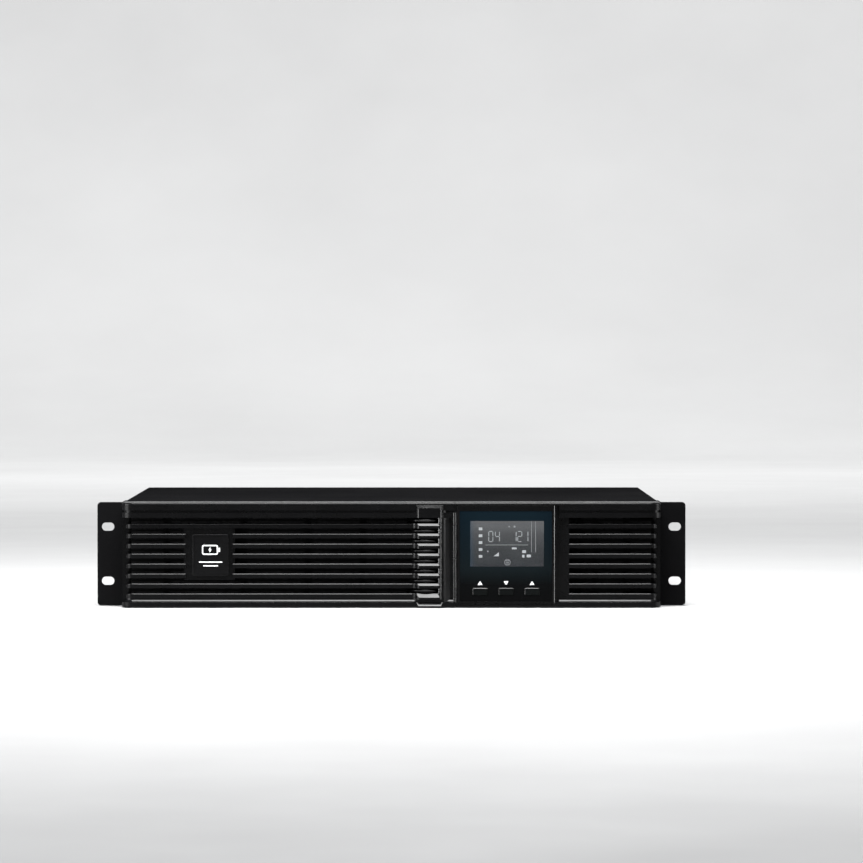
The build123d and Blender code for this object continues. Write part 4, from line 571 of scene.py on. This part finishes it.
def rounded(cx, cz, width, height, radius, steps=5):
    """Outline of a rectangle with rounded corners."""
    radius = min(radius, width / 2 - 0.001, height / 2 - 0.001)
    points = []
    for quarter, (sx, sz) in enumerate(((1, 1), (-1, 1), (-1, -1), (1, -1))):
        for i in range(steps + 1):
            a = math.radians(90 * quarter + 90 * i / steps)
            points.append((
                cx + sx * (width / 2 - radius) + radius * math.cos(a),
                cz + sz * (height / 2 - radius) + radius * math.sin(a),
            ))
    return points


def hoop(bm, cx, cz, width, height, radius, line, y, thick):
    """Closed frame: the band between two rounded rectangles."""
    outer = rounded(cx, cz, width, height, radius)
    inner = rounded(cx, cz, width - 2 * line, height - 2 * line, max(radius - line, 0.05))
    rings = []
    for outline, depth in ((outer, y), (outer, y + thick), (inner, y + thick), (inner, y)):
        rings.append([bm.verts.new((x, depth, z)) for x, z in outline])
    for a in range(4):
        b = (a + 1) % 4
        for i in range(len(outer)):
            j = (i + 1) % len(outer)
            bm.faces.new((rings[a][i], rings[a][j], rings[b][j], rings[b][i]))


def digit(bm, value, x, z, width, height, line, y, thick, from_behind=False):
    """One seven-segment figure, its lower left corner at x, z; turned to read from behind if asked."""
    lit = {
        0: "abcdef", 1: "bc", 2: "abged", 3: "abgcd", 4: "fgbc",
        5: "afgcd", 6: "afgedc", 7: "abc", 8: "abcdefg", 9: "abcdfg",
    }[value]
    half = height / 2
    gap = line * 0.22
    level = {"a": height - line / 2, "g": half, "d": line / 2}
    left, right = line / 2, width - line / 2
    upright = {"f": (left, half), "b": (right, half), "e": (left, 0), "c": (right, 0)}
    for segment in lit:
        if segment in level:
            low, high, middle = x + line / 2 + gap, x + width - line / 2 - gap, z + level[segment]
            outline = [
                (low, middle), (low + line / 2, middle + line / 2), (high - line / 2, middle + line / 2),
                (high, middle), (high - line / 2, middle - line / 2), (low + line / 2, middle - line / 2),
            ]
        else:
            dx, dz = upright[segment]
            middle = x + dx
            low, high = z + dz + line / 2 * (dz == 0) + gap, z + dz + half - line / 2 * (dz > 0) - gap
            outline = [
                (middle, low), (middle + line / 2, low + line / 2), (middle + line / 2, high - line / 2),
                (middle, high), (middle - line / 2, high - line / 2), (middle - line / 2, low + line / 2),
            ]
        if from_behind:
            outline = [(2 * x + width - a, b) for a, b in outline]
        slab(bm, outline, y, thick)


def disc(cx, cz, radius, steps):
    """Outline of a circle."""
    turns = [2 * math.pi * i / steps for i in range(steps)]
    return [(cx + radius * math.cos(a), cz + radius * math.sin(a)) for a in turns]


# ---------------------------------------------------------------- what the display shows
MARK_Y, MARK_THICK = WINDOW_BACK_Y + 0.02, 0.06
bm = bmesh.new()
for value, x in ((0, 79.0), (4, 84.4), (1, 98.0), (2, 102.6), (1, 107.6)):
    digit(bm, value, x, 53.8, 4.1, 9.0, 0.75, MARK_Y, MARK_THICK)
slab(bm, rounded(94.0, 51.4, 35.0, 0.35, 0.15), MARK_Y, MARK_THICK)
for x in (114.2, 117.6):
    slab(bm, rounded(x, 58.5, 0.35, 26.0, 0.15), MARK_Y, MARK_THICK)
for x, z, size in ((100.4, 66.4, 1.5), (96.0, 66.4, 1.0), (116.0, 73.6, 1.4), (78.6, 46.2, 1.2)):
    slab(bm, rounded(x, z, size, size, 0.3), MARK_Y, MARK_THICK)
for z in (35.9, 37.2, 38.5):
    slab(bm, rounded(94.6, z, 3.0, 0.45, 0.2), MARK_Y, MARK_THICK)
hoop(bm, 94.6, 37.2, 5.0, 5.0, 2.4, 0.35, MARK_Y, MARK_THICK)
finish_mesh("display_segments", bm, LCD_INK, "display_module")

bm = bmesh.new()
for i in range(5):
    slab(bm, rounded(72.7, 42.1 + 5.6 * i, 2.9, 2.2, 0.25), MARK_Y, MARK_THICK)
slab(bm, [(83.4, 42.2), (87.6, 42.2), (87.6, 45.4)], MARK_Y, MARK_THICK)
slab(bm, rounded(100.2, 48.6, 4.0, 1.5, 0.6), MARK_Y, MARK_THICK)
for x, z, width in ((108.2, 46.0, 3.0), (107.6, 42.2, 1.8), (112.0, 42.4, 3.4)):
    slab(bm, rounded(x, z, width, 2.3, 0.4), MARK_Y, MARK_THICK)
finish_mesh("display_blocks", bm, LCD_BRIGHT, "display_module")

# Pointers above the three buttons, printed on the window
bm = bmesh.new()
for x, up in zip(BUTTON_XS, (1, -1, 1)):
    foot_z = BUTTON_MARK_Z - up * 1.5
    arrow = [(x - 1.9, foot_z), (x + 1.9, foot_z), (x, BUTTON_MARK_Z + up * 1.6)]
    slab(bm, arrow, WINDOW_FRONT_Y - 0.05, 0.05)
finish_mesh("button_pointers", bm, WHITE_INK, "display_module")

# Badge: a battery outline with a bolt, over two thin rules
BOLT = [(0.35, 2.0), (-1.05, -0.25), (-0.15, -0.25), (-0.35, -2.0), (1.05, 0.3), (0.15, 0.3)]
BOLT_SCALE = 1.25
ICON_X, ICON_Z, ICON_THICK = BADGE_X - 0.5, BADGE_Z + 4.4, 0.35
RULE_THICK = 0.25
bm = bmesh.new()
hoop(bm, ICON_X, ICON_Z, 13.0, 8.0, 1.6, 0.9, BADGE_FLOOR_Y - ICON_THICK, ICON_THICK)
slab(bm, rounded(BADGE_X + 7.0, ICON_Z, 1.3, 3.4, 0.5), BADGE_FLOOR_Y - ICON_THICK, ICON_THICK)
bolt = [(ICON_X + BOLT_SCALE * x, ICON_Z + BOLT_SCALE * z) for x, z in BOLT]
slab(bm, bolt, BADGE_FLOOR_Y - ICON_THICK, ICON_THICK)
for dz, width in ((-5.6, 19.0), (-8.6, 12.0)):
    slab(bm, rounded(BADGE_X, BADGE_Z + dz, width, 0.8, 0.4), BADGE_FLOOR_Y - RULE_THICK, RULE_THICK)
finish_mesh("badge_emblem", bm, WHITE_INK, "battery_door")

# Dust filters behind the louvres, notched round the bosses that hold the bezel off the front plate
DOOR_FILTER = [
    (-212.5, FOAM_LOW_Z), (12.8, FOAM_LOW_Z), (12.8, 15.2), (23.2, 15.2), (23.2, FOAM_LOW_Z),
    (34.8, FOAM_LOW_Z), (34.8, 15.2), (48.5, 15.2), (48.5, 68.8), (34.8, 68.8), (34.8, FOAM_HIGH_Z),
    (23.2, FOAM_HIGH_Z), (23.2, 68.8), (12.8, 68.8), (12.8, FOAM_HIGH_Z), (-212.5, FOAM_HIGH_Z),
]
GRILLE_FILTER = [
    (155.0, FOAM_LOW_Z), (195.0, FOAM_LOW_Z), (195.0, 15.0), (212.5, 15.0), (212.5, 71.0), (195.0, 71.0),
    (195.0, FOAM_HIGH_Z), (155.0, FOAM_HIGH_Z), (155.0, 71.0), (138.0, 71.0), (138.0, 15.0), (155.0, 15.0),
]
bm = bmesh.new()
slab(bm, DOOR_FILTER, FOAM_Y, FOAM_THICK)
finish_mesh("door_filter", bm, FOAM, "battery_door")
bm = bmesh.new()
slab(bm, GRILLE_FILTER, FOAM_Y, FOAM_THICK)
finish_mesh("grille_filter", bm, FOAM, "chassis")

# ---------------------------------------------------------------- print on the rear panel
INK_THICK = 0.06
FRAME_LINE = 0.5
bm = bmesh.new()
for bank_x in BANK_XS:
    hoop(bm, bank_x, MID_Z, 71.5, 61.5, 3.0, FRAME_LINE, REAR_Y, INK_THICK)
hoop(bm, DATA_PANEL_X, 40.0, 70.0, 68.0, 2.5, FRAME_LINE, REAR_Y, INK_THICK)
slab(bm, rounded(DATA_PANEL_X, 41.0, 66.0, 0.4, 0.1), REAR_Y, INK_THICK)
# Earth symbol: three bars under a stem
for dz, width in ((1.8, 6.4), (0.2, 4.2), (-1.4, 2.0)):
    slab(bm, rounded(EARTH_X, EARTH_Z + dz, width, 0.7, 0.2), REAR_Y, INK_THICK)
slab(bm, rounded(EARTH_X, EARTH_Z + 3.6, 0.7, 3.8, 0.2), REAR_Y, INK_THICK)
hoop(bm, INLET_X, MID_Z + 15.0, 54.0, 28.0, 3.0, FRAME_LINE, REAR_Y, INK_THICK)
# Bank 1 is the left one as seen from behind
for figure, bank_x in ((1, BANK_XS[1]), (2, BANK_XS[0])):
    digit(bm, figure, bank_x - 1.4, 75.6, 2.8, 5.2, 0.7, REAR_Y, INK_THICK, from_behind=True)
finish_mesh("rear_print", bm, WHITE_INK, "chassis")

# Sprung contacts in the two network sockets
CONTACT_PITCH, CONTACT_HALF, CONTACT_THICK = 1.02, 0.2, 0.25
CONTACT_PATH = [(190.2, 21.0), (192.0, 22.6), (198.6, 25.6), (199.2, 26.9)]
bm = bmesh.new()
for port_x in NETWORK_XS:
    for i in range(8):
        x = port_x - 3.5 * CONTACT_PITCH + CONTACT_PITCH * i
        for (y0, z0), (y1, z1) in zip(CONTACT_PATH, CONTACT_PATH[1:]):
            corners = [
                (x - CONTACT_HALF, y0, z0), (x + CONTACT_HALF, y0, z0),
                (x + CONTACT_HALF, y1, z1), (x - CONTACT_HALF, y1, z1),
            ]
            plate(bm, corners, CONTACT_THICK)
finish_mesh("network_contacts", bm, GOLD, "chassis")

# Fan's hub label
bm = bmesh.new()
slab(bm, disc(FAN_X, FAN_Z, 14.5, 48), FAN_HUB_Y, 0.1)
finish_mesh("fan_label", bm, ALUMINIUM, "chassis")

# Labels on the batteries
bm = bmesh.new()
for x0, x1 in BATTERY_LABEL_XS:
    for mid_y in BATTERY_LABEL_YS:
        outline = rounded((x0 + x1) / 2, mid_y, x1 - x0, 90.0, 3.0)
        plate(bm, [(x, y, BATTERY_LID_Z) for x, y in outline], 0.15)
finish_mesh("battery_labels", bm, LABEL, "battery_tray")


# ---------------------------------------------------------------- floor, light and camera
def studio_floor():
    """Pale seamless sweep, in metres: level under the unit, curving up far behind it."""
    front_y, bend_y, bend_r, top_z, half_width, steps = -9.0, 4.4, 2.0, 7.0, 12.0, 16
    profile = [(front_y, 0.0), (bend_y, 0.0)]
    for i in range(1, steps + 1):
        a = math.radians(90 * i / steps)
        profile.append((bend_y + bend_r * math.sin(a), bend_r - bend_r * math.cos(a)))
    profile.append((bend_y + bend_r, top_z))
    sweep = bmesh.new()
    rows = [[sweep.verts.new((x, y, z)) for y, z in profile] for x in (-half_width, half_width)]
    for i in range(len(profile) - 1):
        sweep.faces.new((rows[0][i], rows[1][i], rows[1][i + 1], rows[0][i + 1]))
    mesh = bpy.data.meshes.new("studio_sweep")
    sweep.to_mesh(mesh)
    sweep.free()
    for polygon in mesh.polygons:
        polygon.use_smooth = True
    s = Shader("studio_paper")
    s.colour(s.ramp(s.noise(1.2, 4.0), [(0.3, (0.26, 0.26, 0.26)), (0.7, (0.29, 0.29, 0.29))]))
    s.roughness(s.remap(s.noise(6.0), 0.3, 0.7, 0.75, 0.9))
    mesh.materials.append(s.material)
    floor = bpy.data.objects.new("studio_sweep", mesh)
    bpy.context.scene.collection.objects.link(floor)


def soft_light(name, place, target, width, height, power):
    """Rectangular soft box at a place in metres, facing a target, with its power in watts."""
    data = bpy.data.lights.new(name, "AREA")
    data.shape = "RECTANGLE"
    data.size, data.size_y = width, height
    data.energy = power
    lamp = bpy.data.objects.new(name, data)
    lamp.location = place
    lamp.rotation_mode = "QUATERNION"
    lamp.rotation_quaternion = (Vector(target) - Vector(place)).to_track_quat("-Z", "Y")
    bpy.context.scene.collection.objects.link(lamp)


studio_floor()
soft_light("overhead_box", (0.0, -0.47, 1.12), (0.0, -0.17, 0.0), 0.64, 0.8, 54.0)
soft_light("front_wash", (0.0, -1.7, 1.9), (0.0, -1.5, 0.0), 2.6, 1.0, 48.0)
soft_light("backdrop_wash", (0.0, 3.0, 3.2), (0.0, 5.2, 0.0), 5.0, 1.2, 400.0)
soft_light("left_strip", (-1.2, -0.75, 0.4), (-0.1, -0.2, 0.05), 0.8, 0.8, 42.0)
soft_light("right_strip", (1.5, -0.3, 0.4), (0.1, -0.2, 0.05), 0.7, 0.8, 22.0)

# Sky: dim straight in front of the unit, so that its face stays black, and bright all round
world = bpy.data.worlds.new("studio_world")
world.use_nodes = True
tree = world.node_tree
tree.nodes.clear()
background = tree.nodes.new("ShaderNodeBackground")
world_out = tree.nodes.new("ShaderNodeOutputWorld")
direction = tree.nodes.new("ShaderNodeTexCoord")
parts = tree.nodes.new("ShaderNodeSeparateXYZ")
fade = tree.nodes.new("ShaderNodeMapRange")
fade.inputs["From Min"].default_value = -0.95
fade.inputs["From Max"].default_value = -0.3
fade.inputs["To Min"].default_value = 0.14
fade.inputs["To Max"].default_value = 0.75
tree.links.new(direction.outputs["Generated"], parts.inputs["Vector"])
tree.links.new(parts.outputs["Y"], fade.inputs["Value"])
tree.links.new(fade.outputs["Result"], background.inputs["Strength"])
background.inputs["Color"].default_value = (0.9, 0.92, 0.95, 1.0)
tree.links.new(background.outputs["Background"], world_out.inputs["Surface"])
bpy.context.scene.world = world
bpy.context.scene.view_settings.view_transform = "Standard"

# Long lens, a little above the lid and almost straight on
CAMERA_LENS, CAMERA_TILT, CAMERA_TURN = 204.6, 1.166, -0.204
camera_data = bpy.data.cameras.new("camera")
camera_data.sensor_width = 36.0
camera_data.lens = CAMERA_LENS
camera_data.clip_end = 60.0
camera = bpy.data.objects.new("camera", camera_data)
camera.location = (0.0185, -4.195, 0.2252)
camera.rotation_euler = (math.radians(90.0 - CAMERA_TILT), 0.0, math.radians(CAMERA_TURN))
bpy.context.scene.collection.objects.link(camera)
bpy.context.scene.camera = camera
